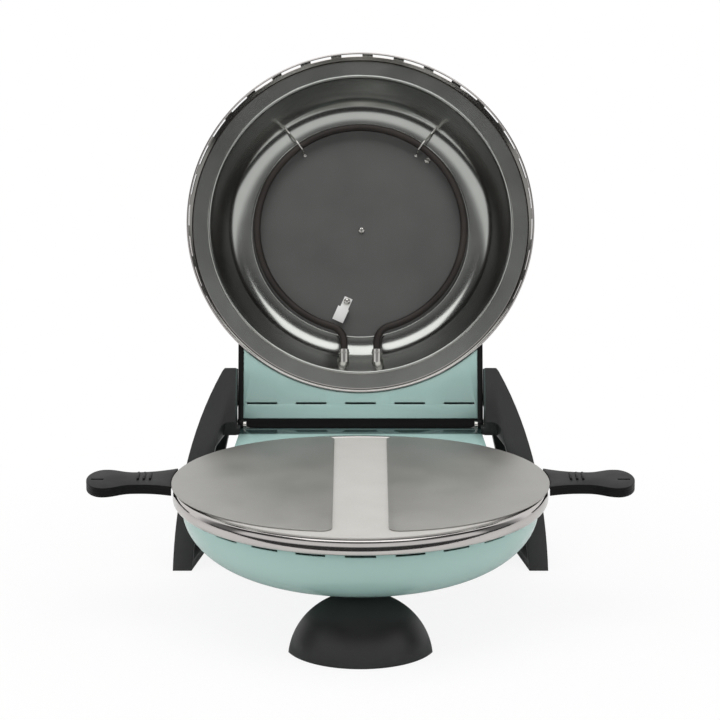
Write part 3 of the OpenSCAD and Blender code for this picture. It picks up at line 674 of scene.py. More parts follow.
@dataclass(frozen=True)
class Steel(Finish):
    """Worked sheet metal: its marks run straight with the rolling or round with the spinning."""

    worn: str = "000000"
    grain: Grain = Grain.NONE
    grain_mm: float = 0.5
    grain_depth_mm: float = 0.002
    grain_strength: float = 0.6
    grain_stretch: float = 60.0
    smudge_mm: float = 45.0
    blur: float = 0.05

    def dress(
        self, tree: bpy.types.NodeTree, shader: bpy.types.Node, at: bpy.types.NodeSocket
    ) -> None:
        """Adds working marks, hand marks in the roughness and a trace of tarnish."""
        smudge = self.cloud(tree, at, self.smudge_mm, 3)
        self.shade(tree, shader, smudge, self.worn)
        self.roughen(tree, shader, smudge, self.roughness, self.roughness + self.blur)
        height = None
        if self.grain is Grain.STRAIGHT:
            across = 1000 / self.grain_mm
            scale = (across, across / self.grain_stretch, 0)
            stretched = add_node(tree, "ShaderNodeMapping", {"Scale": scale}, Vector=at)
            height = add_node(
                tree, "ShaderNodeTexNoise", {"Scale": 1.0, "Detail": 3}, Vector=stretched.outputs[0]
            ).outputs[0]
        elif self.grain is Grain.ROUND:
            flat = add_node(
                tree, "ShaderNodeVectorMath", {"operation": "MULTIPLY", 1: (1, 1, 0)}, i0=at
            )
            radius = add_node(
                tree, "ShaderNodeVectorMath", {"operation": "LENGTH"}, i0=flat.outputs[0]
            )
            height = add_node(
                tree,
                "ShaderNodeTexNoise",
                {"noise_dimensions": "1D", "Scale": 1000 / self.grain_mm, "Detail": 3},
                W=radius.outputs["Value"],
            ).outputs[0]
        if height is not None:
            rough = add_node(
                tree,
                "ShaderNodeMath",
                {"operation": "MULTIPLY_ADD", 1: self.blur},
                i0=height,
                i2=shader.inputs["Roughness"].links[0].from_socket,
            )
            tree.links.new(rough.outputs[0], shader.inputs["Roughness"])
        self.relief(tree, shader, height, self.grain_depth_mm, self.grain_strength)


@dataclass(frozen=True)
class Moulded(Finish):
    """Injection-moulded plastic with the fine grain of an eroded mould."""

    worn: str = "000000"
    rub_mm: float = 35.0
    polish: float = 0.04
    dulling: float = 0.05
    grain_mm: float = 0.9
    grain_depth_mm: float = 0.03
    specular: float = 0.5

    def dress(
        self, tree: bpy.types.NodeTree, shader: bpy.types.Node, at: bpy.types.NodeSocket
    ) -> None:
        """Adds mould grain and rubbed patches."""
        rub = self.cloud(tree, at, self.rub_mm, 3)
        self.shade(tree, shader, rub, self.worn)
        self.roughen(
            tree, shader, rub, self.roughness - self.polish, self.roughness + self.dulling
        )
        shader.inputs["Specular IOR Level"].default_value = self.specular
        grain = add_node(
            tree, "ShaderNodeTexNoise", {"Scale": 1000 / self.grain_mm, "Detail": 2.0}, Vector=at
        )
        self.relief(tree, shader, grain.outputs[0], self.grain_depth_mm)


@dataclass(frozen=True)
class Mineral(Finish):
    """Pressed and fired mineral: matt, with specks and a fine open grain."""

    speck: str = "000000"
    speck_mm: float = 1.6
    speck_depth_mm: float = 0.05
    cloud_mm: float = 40.0

    def dress(
        self, tree: bpy.types.NodeTree, shader: bpy.types.Node, at: bpy.types.NodeSocket
    ) -> None:
        """Adds specks, cloudy firing marks and grain."""
        cloud, speck = (
            add_node(
                tree, "ShaderNodeTexNoise", {"Scale": 1000 / size, "Detail": detail}, Vector=at
            ).outputs[0]
            for size, detail in ((self.cloud_mm, 4.0), (self.speck_mm, 3.0))
        )
        total = add_node(tree, "ShaderNodeMath", {"operation": "ADD"}, i0=cloud, i1=speck)
        mean = add_node(
            tree, "ShaderNodeMath", {"operation": "MULTIPLY", 1: 0.5}, i0=total.outputs[0]
        )
        share = add_node(tree, "ShaderNodeMapRange", NOISE_RANGE, Value=mean.outputs[0])
        self.shade(tree, shader, share.outputs[0], self.speck)
        self.relief(tree, shader, speck, self.speck_depth_mm)


@dataclass(frozen=True)
class Lens(Finish):
    """Clear tinted plastic over a small lamp."""

    clear: float = 0.6
    ior: float = 1.49
    cloud_mm: float = 4.0
    haze: float = 0.1

    def dress(
        self, tree: bpy.types.NodeTree, shader: bpy.types.Node, at: bpy.types.NodeSocket
    ) -> None:
        """Adds see-through colour, gloss and a faint cloud in the roughness."""
        shader.inputs["Transmission Weight"].default_value = self.clear
        shader.inputs["IOR"].default_value = self.ior
        share = self.cloud(tree, at, self.cloud_mm)
        self.roughen(tree, shader, share, self.roughness, self.haze)


class Finishes:
    """The finishes of this oven, named for what the real ones are."""

    # Sprayed and stoved mint enamel: soft gloss, a little deeper in the clouds
    mint = Enamel("mint_stove_enamel", "A3C2BC", 0.26, deep="A1C0BA", edge_mm=0.8)
    # The same enamel on the rear box, with painted shade: its deck goes dark teal towards the hinge
    deck = PaintedShadeEnamel("mint_stove_enamel_deck_painted_shade", "A3C2BC", 0.26, deep="A1C0BA", edge_mm=0.8)
    # Black enamel on the hinge frame: near black, with a dull gloss
    black_enamel = Enamel(
        "black_stove_enamel", "080808", 0.4, deep="060606", coat=0.0, specular=0.15, edge_mm=0.5
    )
    # Polished stainless band: mirror with faint round polishing marks
    band = Steel(
        "polished_stainless",
        "C6C2C0",
        0.07,
        1.0,
        worn="BEBAB8",
        grain=Grain.ROUND,
        grain_mm=0.35,
        grain_depth_mm=0.0006,
        blur=0.03,
    )
    # Spun stainless reflector: nearly a mirror, faint round tool marks, a trace of green from heat
    reflector = Steel(
        "polished_spun_stainless",
        "B6B8B4",
        0.14,
        1.0,
        worn="ACAEAA",
        grain=Grain.ROUND,
        grain_mm=0.5,
        grain_depth_mm=0.0005,
        blur=0.03,
    )
    # Dark heat-proof coating on the reflector's plate: matt, brushed sheet shows through
    dark_plate = Steel(
        "dark_coated_sheet",
        "666665",
        0.42,
        0.75,
        worn="5D5D5C",
        grain=Grain.STRAIGHT,
        grain_mm=0.5,
        grain_depth_mm=0.004,
        blur=0.1,
    )
    # Rolled aluminium peel blade: satin, fine lines from the rolling
    peel = Steel(
        "rolled_aluminium_sheet",
        "B9B8B4",
        0.46,
        1.0,
        worn="AFAEAA",
        grain=Grain.STRAIGHT,
        grain_mm=0.6,
        grain_depth_mm=0.002,
        blur=0.08,
    )
    # Bright zinc-plated small parts
    bright = Steel("bright_plated_steel", "D2D0CC", 0.14, 1.0, worn="C2C0BC", edge_mm=0.2)
    # Feeler plate: satin zinc, which shows pale from every side
    zinc = Steel("satin_zinc", "E4E4E2", 0.5, 0.4, worn="D6D6D4", edge_mm=0.2)
    # Heater sheath after a few firings: dull brown-black oxide
    sheath = Steel("oxidised_sheath", "3E3936", 0.42, 0.6, worn="2C2826", blur=0.12)
    # Grey primer on the service cover
    primer = Enamel("grey_primer", "5C6061", 0.5, deep="565A5B", coat=0.0, edge_mm=0.5)
    # Moulded nylon legs and foot: satin black with mould grain
    nylon = Moulded("moulded_black_nylon", "2E2E2E", 0.42, worn="282828", edge_mm=0.8)
    # The foot: the same nylon from a polished mould, so deeper black with a soft shine
    foot = Moulded("moulded_black_nylon_polished", "1B1B1B", 0.34, worn="171717", edge_mm=0.8)
    # Handles and pod: phenolic, deep black and a little glossier
    bakelite = Moulded(
        "moulded_black_phenolic",
        "131313",
        0.32,
        worn="101010",
        grain_mm=0.7,
        grain_depth_mm=0.015,
        specular=0.22,
        edge_mm=0.4,
    )
    # The peels' grips: the same phenolic with a matt mould grain
    grip = Moulded(
        "moulded_black_phenolic_matt",
        "171717",
        0.45,
        worn="131313",
        grain_mm=0.7,
        grain_depth_mm=0.02,
        specular=0.1,
        edge_mm=0.4,
    )
    # Rubber pads: matt and slightly dusty
    rubber = Moulded(
        "black_rubber", "1C1C1C", 0.8, worn="161616", grain_mm=1.2, specular=0.3, edge_mm=0.4
    )
    # Refractory stone: pale warm grey cordierite
    stone = Mineral("cordierite_stone", "CDCBC7", 0.85, speck="C1BFBA")
    # Unglazed steatite terminal block and thermostat case
    steatite = Mineral("unglazed_steatite", "E6E1D4", 0.7, speck="D9D3C4", speck_mm=0.8)
    # Amber pilot lens
    amber = Lens("amber_polycarbonate", "E06A1C", 0.04)


def dress(obj: bpy.types.Object, finish: Finish, place: Place = Place.BASE) -> None:
    """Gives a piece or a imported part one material.

    Args:
        obj: The object.
        finish: Its finish.
        place: The frame of the pattern.
    """
    obj.data.materials.clear()
    obj.data.materials.append(finish.material(place))


@dataclass
class Piece:
    """A finished piece and what it stands for."""

    obj: bpy.types.Object
    body: str
    finish: Finish
    slot: str
    nodes: tuple[str, ...]
    place: Place = Place.BASE

    def hand_over(self) -> None:
        """Dresses the piece, ties it to its body and hides the parts that it stands for."""
        dress(self.obj, self.finish, self.place)
        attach(self.obj, self.body)
        if self.nodes:
            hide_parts(*self.nodes)
        LOG.info("%s: %d faces", self.obj.name, len(self.obj.data.polygons))


def lip_height() -> float:
    """Finds the height of the shut lid's lip above the origin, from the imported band."""
    band = frame["nodes"]["lid_band"].data
    return min((SHUT @ vertex.co).z for vertex in band.vertices)


LIP = Matrix.Translation((0, 0, lip_height()))
LID = SWING @ LIP


# Base


@dataclass
class BaseMetal:
    """Bowl, band and stone, with sizes in metres."""

    band_in: float = 157.2 * MM
    shoulder: float = 162.0 * MM
    roll: float = 2.5 * MM
    sheet: float = 1.0 * MM
    bowl_flat: float = 78.0 * MM
    bowl_sheet: float = 1.5 * MM
    flange: float = 0.8 * MM
    neck_gap: float = 0.15 * MM
    neck_h: float = 4.5 * MM
    bulge_at: float = 0.64
    turn_in: float = 2.4 * MM
    slot_count: int = 23
    slot_columns: int = 18
    slot_share: float = 0.305
    slot_height: float = 2.2 * MM
    slot_below: float = 0.6 * MM
    back_angle: float = 45.0
    stone_bevel: float = 1.0 * MM
    pieces: list[Piece] = field(default_factory=list)

    def build(self) -> None:
        """Builds and hands over all pieces."""
        self.band()
        self.bowl()
        self.stone()
        for piece in self.pieces:
            piece.hand_over()

    def band(self) -> None:
        """Spins the polished band: a rolled top edge, a bulged side and a turned-in lower edge."""
        low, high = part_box("base_rim")
        outer = high.x
        middle = high.z - self.bulge_at * (high.z - low.z)
        bulge = outer - self.shoulder

        def skin(o: float) -> list[Point]:
            """Gives the band's skin, drawn in by o."""
            roll = self.roll - o
            return (
                [(self.band_in + o, low.z)]
                + arc((self.band_in + self.roll, high.z - self.roll), roll, roll, 180, 90, 10)
                + arc((self.shoulder, middle), bulge - o, high.z - middle - o, 90, 0, 16)
                + arc((self.shoulder, middle), bulge - o, middle - low.z - o, 0, -90, 12)[1:]
                + [(self.band_in + self.turn_in, low.z + o)]
            )

        outline = skin(0) + skin(self.sheet)[::-1]
        obj = lathe("rim_band", outline + outline[:1], 240)
        smooth(obj, 40)
        self.pieces.append(Piece(obj, "base", Finishes.band, "polished_band", ("base_rim",)))

    def bowl(self) -> None:
        """Spins the bowl's skin, takes the slots out of its neck and gives it its thickness."""
        low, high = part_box("base_shell")
        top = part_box("base_rim")[0].z
        neck = self.band_in - self.neck_gap
        neck_low = top - self.neck_h
        brim = top - self.flange / 2
        slot_top = top - self.flange - self.slot_below
        slot_low = slot_top - self.slot_height
        side = arc(
            (self.bowl_flat, neck_low), neck - self.bowl_flat, neck_low - low.z, 0, -90, 28
        )
        profile = [(high.x, brim), (neck, brim), (neck, slot_top), (neck, slot_low)]
        profile += side + [(0.0, low.z)]
        obj = lathe("bowl", profile, self.slot_count * self.slot_columns)
        middle = (slot_top + slot_low) / 2
        slots = SlotRing(
            self.slot_count, self.slot_share, middle, self.slot_height / 3, self.back_angle
        )
        slots.open(obj)
        apply_modifier(obj, "SOLIDIFY", thickness=self.bowl_sheet, offset=-1.0)
        smooth(obj, 40)
        self.pieces.append(Piece(obj, "base", Finishes.mint, "mint_enamel", ("base_shell",)))

    def stone(self) -> None:
        """Spins the stone with its bevelled edges."""
        low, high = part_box("baking_stone")
        radius = high.x
        edge = self.stone_bevel
        profile = [(0.0, low.z), (radius - edge, low.z), (radius, low.z + edge)]
        profile += [(radius, high.z - edge)]
        profile += arc((radius - edge, high.z - edge), edge, edge, 10, 90, 5) + [(0.0, high.z)]
        obj = lathe("stone_disc", profile, 180)
        smooth(obj, 30)
        self.pieces.append(Piece(obj, "base", Finishes.stone, "stone", ("baking_stone",)))


# Lid


@dataclass
class LidMetal:
    """Dome, slotted band, reflector and heater, with sizes in metres and depths from the lip."""

    lip_r: float = 163.9 * MM
    lip_roll: float = 1.1 * MM
    lip_rise: float = 1.3 * MM
    flare_from: float = 2.2 * MM
    neck_r: float = 158.9 * MM
    neck_turn: float = 0.6 * MM
    band_h: float = 13.0 * MM
    sheet: float = 1.0 * MM
    hem: float = 5.0 * MM
    slot_count: int = 34
    slot_columns: int = 12
    slot_share: float = 0.335
    slot_low: float = 2.6 * MM
    slot_high: float = 7.0 * MM
    slot_phase: float = -2.9
    back_angle: float = 40.0
    dome_h: float = 60.0 * MM
    dome_flat: float = 50.0 * MM
    shell: float = 1.5 * MM
    plate: float = 0.8 * MM
    rim_r: float = 157.6 * MM
    bead_r: float = 143.3 * MM
    bead: float = 1.65 * MM
    depth: float = 31.3 * MM
    wall_from: float = 1.8 * MM
    wall_slope: float = 65.0
    wall_pull: float = 3.0 * MM
    knee_r: float = 124.3 * MM
    knee_rise: float = 6.4 * MM
    knee_slope: float = 44.0
    knee_pull: Point = (6.0 * MM, 5.0 * MM)
    hem_r: float = 103.6 * MM
    hem_roll: float = 0.9 * MM
    floor_from: float = 12.0 * MM
    floor_to: float = 2.0 * MM
    tube_r: float = 3.5 * MM
    ring_r: float = 98.5 * MM
    bend: float = 16.0 * MM
    tube_half: float = 15.5 * MM
    tube_depth: float = 34.0 * MM
    stub: float = 43.0 * MM
    sleeve_at: float = 18.3 * MM
    sleeve_l: float = 20.0 * MM
    sleeve_gap: float = 0.05 * MM
    sleeve_wall: float = 1.1 * MM
    sleeve_edge: float = 0.3 * MM
    collar: float = 0.8 * MM
    collar_at: float = 3.0 * MM
    collar_l: float = 1.0 * MM
    collar_turn: float = 0.2 * MM
    wire: float = 0.95 * MM
    wire_gap: float = 0.3 * MM
    clip_foot: float = 2.5 * MM
    clip_heel: float = 2.4 * MM
    clip_hook: float = 1.2 * MM
    clip_bow: Point = (3.0 * MM, 2.0 * MM)
    clip_fall: Point = (7.5 * MM, 4.0 * MM)
    clip_reach: float = 123.0 * MM
    clip_rise: float = 5.6 * MM
    clip_head: Point = (1.9 * MM, 1.5 * MM)
    clip_head_at: float = 3.4 * MM
    clip_angle: float = 36.0
    screw_r: float = 3.2 * MM
    screw_h: float = 2.4 * MM
    screws_at: tuple[Point, ...] = (
        (1.0 * MM, 0.0),
        (64.0 * MM, -68.3 * MM),
        (-12.8 * MM, 69.0 * MM),
    )
    pieces: list[Piece] = field(default_factory=list)

    @property
    def shell_low(self) -> float:
        """Depth at which the dome sits on the band."""
        return self.band_h + self.sheet

    @property
    def rim_depth(self) -> float:
        """Depth of the reflector's flat rim."""
        return self.band_h - self.plate

    @property
    def floor(self) -> float:
        """Depth of the reflector's floor."""
        return self.rim_depth + self.depth

    def add(
        self, obj: bpy.types.Object, finish: Finish, slot: str, *nodes: str
    ) -> None:
        """Swings a lid piece open and keeps it for handing over.

        Args:
            obj: The piece, built on the shut lid with its lip at height 0.
            finish: Its finish.
            slot: Its material slot in the record.
            *nodes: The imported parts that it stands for.
        """
        settle(obj, LID)
        self.pieces.append(Piece(obj, "lid", finish, slot, nodes, Place.LID))

    def build(self) -> None:
        """Builds and hands over all pieces."""
        self.dome()
        self.band()
        self.reflector()
        self.heater()
        self.ferrules()
        self.clips()
        self.screws()
        for piece in self.pieces:
            piece.hand_over()

    def dome(self) -> None:
        """Spins the mint dome with its thickness and its turned-in lower edge."""
        top = self.shell_low + self.dome_h

        def skin(o: float, flange: bool) -> list[Point]:
            """Gives the dome's skin, drawn in by o, from its flange or from its foot."""
            side = arc(
                (self.dome_flat, self.shell_low),
                self.neck_r - self.dome_flat - o,
                self.dome_h - o,
                0,
                90,
                30,
            )
            if flange:
                side = [p for p in side if p[1] > self.shell_low + self.shell]
            return side + [(0.0, top - o)]

        outer = [(self.neck_r - self.hem, self.shell_low)] + skin(0, False)
        inner = [(self.neck_r - self.hem, self.shell_low + self.shell)]
        inner += [(self.neck_r - self.shell, self.shell_low + self.shell)]
        inner += skin(self.shell, True)
        obj = lathe("dome", outer + inner[::-1] + outer[:1], 240)
        smooth(obj, 40)
        self.add(obj, Finishes.mint, "mint_enamel", "lid_shell")

    def band(self) -> None:
        """Spins the flared band, takes its slots out and gives it its thickness."""
        slope = (self.lip_r - self.neck_r) / (self.shell_low - self.flare_from)
        roll = self.lip_roll

        def on_cone(depth: float) -> Point:
            """Gives the flare's point at a depth."""
            return (self.lip_r - slope * (depth - self.flare_from), depth)

        profile = arc((self.lip_r - roll, self.lip_rise), roll, roll, -150, 20, 10)
        profile += [on_cone(self.slot_low), on_cone(self.slot_high)]
        profile += [on_cone(self.shell_low - self.neck_turn), (self.neck_r, self.shell_low)]
        profile += [(self.neck_r - self.hem, self.shell_low)]
        obj = lathe("lid_flare", profile, self.slot_count * self.slot_columns)
        middle = (self.slot_low + self.slot_high) / 2
        reach = (self.slot_high - self.slot_low) / 4
        slots = SlotRing(
            self.slot_count, self.slot_share, middle, reach, self.back_angle, self.neck_r
        )
        slots.open(obj)
        apply_modifier(obj, "SOLIDIFY", thickness=self.sheet, offset=-1.0)
        obj.matrix_world = Matrix.Rotation(math.radians(self.slot_phase), 4, "Z")
        settle(obj)
        smooth(obj, 40)
        self.add(obj, Finishes.band, "polished_band", "lid_band")

    def reflector(self) -> None:
        """Spins the reflector: flat rim, rolled bead, steep wall, floor and rolled inner edge."""
        rim, floor, bead, hem_r = self.rim_depth, self.floor, self.bead_r, self.hem_r
        top = (bead - self.bead, rim + self.wall_from)
        knee = (self.knee_r, floor - self.knee_rise)

        def step(point: Point, reach: float, slope: float) -> Point:
            """Gives the point a reach away, outwards and down a slope in degrees."""
            angle = math.radians(slope)
            return (point[0] + reach * math.cos(angle), point[1] - reach * math.sin(angle))

        def dish(o: float) -> list[Point]:
            """Gives the wall and the floor, set back by o."""
            down = step(top, -self.wall_pull, self.wall_slope)
            above, below = (
                step(knee, pull, self.knee_slope) for pull in (self.knee_pull[0], -self.knee_pull[1])
            )
            line = bezier(top, down, above, knee, 16)
            level = ((hem_r + self.floor_from, floor), (hem_r + self.floor_to, floor))
            line += bezier(knee, below, *level, 16)[1:]
            return [(r + o / 2, d + o) for r, d in line]

        hem = arc((hem_r, floor), self.hem_roll, self.hem_roll, 0, -180, 8)
        lower = [(self.rim_r, rim + self.plate), (self.rim_r, rim)]
        lower += arc((bead, rim), self.bead, self.bead, 0, -180, 14)
        lower += dish(0) + hem
        upper = [(hem_r - self.hem_roll, floor + self.plate)] + dish(self.plate)[::-1]
        upper += [(bead, rim + self.plate)]
        obj = lathe("reflector_dish", lower + upper + lower[:1], 240)
        smooth(obj, 40)
        self.add(obj, Finishes.reflector, "reflector_steel", "lid_reflector")

    def heater(self) -> None:
        """Sweeps the tube: a stub, a bend, the ring, a bend and a stub, each spun or extruded."""
        a = math.asin((self.tube_half + self.bend) / (self.ring_r + self.bend))
        bend_y = (self.ring_r + self.bend) * math.cos(a)
        bend_x = self.tube_half + self.bend
        stub_y = self.ring_r + self.stub
        bpy.ops.object.select_all(action="DESELECT")
        bpy.ops.mesh.primitive_circle_add(
            vertices=20,
            radius=self.tube_r,
            fill_type="NGON",
            location=(self.tube_half, stub_y, self.tube_depth),
            rotation=(math.pi / 2, 0, 0),
        )
        obj = bpy.context.object
        obj.name = "heater_ring"
        settle(obj)
        edit(obj, "FACE")
        bpy.ops.mesh.select_all(action="SELECT")
        bpy.ops.mesh.extrude_region_move(
            TRANSFORM_OT_translate={"value": (0, bend_y - stub_y, 0)}
        )
        ring_turn = FULL_TURN - 2 * a
        bend_turn = math.pi / 2 - a
        for centre, turn, steps in (
            ((bend_x, bend_y, 0), -bend_turn, 12),
            ((0, 0, 0), ring_turn, 140),
            ((-bend_x, bend_y, 0), -bend_turn, 12),
        ):
            bpy.ops.mesh.spin(steps=steps, angle=turn, center=centre, axis=(0, 0, 1))
        bpy.ops.mesh.extrude_region_move(
            TRANSFORM_OT_translate={"value": (0, stub_y - bend_y, 0)}
        )
        close_edit()
        tidy(obj)
        smooth(obj, 40)
        self.add(obj, Finishes.sheath, "heater_tube", "upper_element")

    def ferrules(self) -> None:
        """Turns one end sleeve with its collar and copies it."""
        inner, outer = self.tube_r + self.sleeve_gap, self.tube_r + self.sleeve_wall
        start = self.ring_r + self.sleeve_at
        edge, turn, wide = self.sleeve_edge, self.collar_turn, outer + self.collar
        low, high = self.collar_at, self.collar_at + self.collar_l
        profile = [(inner, 0), (outer - edge, 0), (outer, edge), (outer, low)]
        profile += [(wide, low + turn), (wide, high), (outer, high + turn)]
        profile += [(outer, self.sleeve_l), (inner, self.sleeve_l), (inner, 0)]
        parts = []
        for x in (-self.tube_half, self.tube_half):
            obj = lathe(f"ferrule_{len(parts)}", profile, 40)
            lying = Matrix.Rotation(-math.pi / 2, 4, "X")
            settle(obj, Matrix.Translation((x, start, self.tube_depth)) @ lying)
            parts.append(obj)
        obj = joined(parts, "heater_ferrules")
        smooth(obj, 35)
        self.add(obj, Finishes.bright, "bright_steel", "upper_ferrules")

    def clips(self) -> None:
        """Bends two wire hooks over the heater, each with a flattened foot on the dark plate."""
        wire, floor, toe = self.wire, self.floor, self.clip_reach
        plate = floor + self.plate
        clear = self.tube_r + self.wire_gap + wire
        top, post = self.tube_depth - clear, self.ring_r - clear
        knee = self.ring_r + self.tube_r + self.clip_hook
        out, down = self.clip_bow
        route = [(post - self.clip_foot, plate - wire), (post, plate - self.clip_heel)]
        route += [(post, top + down), (post + self.clip_hook, top), (knee, top)]
        route += [(knee + out, top + down)]
        route += [(toe - self.clip_fall[0], floor - self.clip_fall[1])]
        route += [(toe, floor - self.clip_rise - wire)]
        parts = []
        for side in (-1, 1):
            obj = tube(f"clip_{side}", [Vector((r, 0, d)) for r, d in route], wire, 10)
            turn = math.radians(-90 + side * self.clip_angle)
            settle(obj, Matrix.Rotation(turn, 4, "Z"))
            head = lathe(f"clip_rivet_{side}", dome_head(*self.clip_head), 24)
            at = Matrix.Translation((post - self.clip_head_at, 0, plate))
            over = Matrix.Rotation(math.pi, 4, "X")
            settle(head, Matrix.Rotation(turn, 4, "Z") @ at @ over)
            parts += [obj, head]
        obj = joined(parts, "heater_clips")
        smooth(obj, 50)
        self.add(obj, Finishes.bright, "bright_steel", "element_clips")

    def screws(self) -> None:
        """Turns the reflector's screws, each a domed head with a crossed recess."""
        parts = []
        for index, (x, y) in enumerate(self.screws_at):
            head = crossed_head(f"plate_screw_{index}", self.screw_r, self.screw_h)
            turn = Matrix.Rotation(math.pi, 4, "X") @ Matrix.Rotation(0.4 * index, 4, "Z")
            lift = self.plate if index < 2 else 0
            settle(head, Matrix.Translation((x, y, self.floor + lift)) @ turn)
            parts.append(head)
        obj = joined(parts, "plate_screws")
        smooth(obj, 40)
        self.add(obj, Finishes.bright, "bright_steel", "reflector_screws")


def dome_head(radius: float, height: float) -> list[Point]:
    """Gives the section of a low domed head, from its rim to its crown."""
    return (
        [(0.0, 0.0), (radius, 0.0), (radius, height * 0.25)]
        + arc((radius * 0.35, height * 0.25), radius * 0.65, height * 0.75, 0, 90, 8)[1:]
        + [(0.0, height)]
    )


def crossed_head(name: str, radius: float, height: float) -> bpy.types.Object:
    """Turns a screw head and sinks a crossed recess into its crown.

    Args:
        name: The object's name.
        radius: Radius of the head.
        height: Height of the head.

    Returns:
        The head, standing on the XY plane.
    """
    head = lathe(name, dome_head(radius, height), 32)
    width, reach = radius * 0.13, radius * 0.58
    corners = [(width, width), (width, reach), (-width, reach), (-width, width)]
    outline = []
    for turn in range(4):
        angle = math.pi / 2 * turn
        outline += [
            (x * math.cos(angle) - y * math.sin(angle), x * math.sin(angle) + y * math.cos(angle))
            for x, y in (corners[1], corners[2], corners[3])
        ]
    cutter = slab(f"{name}_cutter", outline, height * 0.45, height * 1.4)
    cut(head, cutter)
    return head


def tube(
    name: str, points: Sequence[Vector], radius: float, sides: int
) -> bpy.types.Object:
    """Sweeps a round wire along a smoothed line of points.

    Args:
        name: The object's name.
        points: The wire's centre line.
        radius: The wire's radius.
        sides: Number of sides.

    Returns:
        The wire as a closed mesh.
    """
    bpy.ops.object.select_all(action="DESELECT")
    bpy.ops.curve.primitive_nurbs_path_add(location=(0, 0, 0))
    obj = bpy.context.object
    obj.name = name
    curve = obj.data
    curve.splines.clear()
    spline = curve.splines.new("NURBS")
    spline.points.add(len(points) - 1)
    for knot, point in zip(spline.points, points):
        knot.co = (*point, 1.0)
    spline.use_endpoint_u = True
    spline.order_u = 3
    spline.resolution_u = 8
    curve.dimensions = "3D"
    curve.bevel_depth = radius
    curve.bevel_resolution = sides // 4
    curve.use_fill_caps = True
    only(obj)
    bpy.ops.object.convert(target="MESH")
    obj = bpy.context.object
    tidy(obj)
    return obj


def joined(parts: Iterable[bpy.types.Object], name: str) -> bpy.types.Object:
    """Joins objects into one.

    Args:
        parts: The objects.
        name: The name of the result.

    Returns:
        The joined object.
    """
    items = list(parts)
    only(items[0])
    for item in items[1:]:
        item.select_set(True)
    bpy.ops.object.join()
    obj = bpy.context.object
    obj.name = name
    obj.data.name = name
    return obj


# Peels


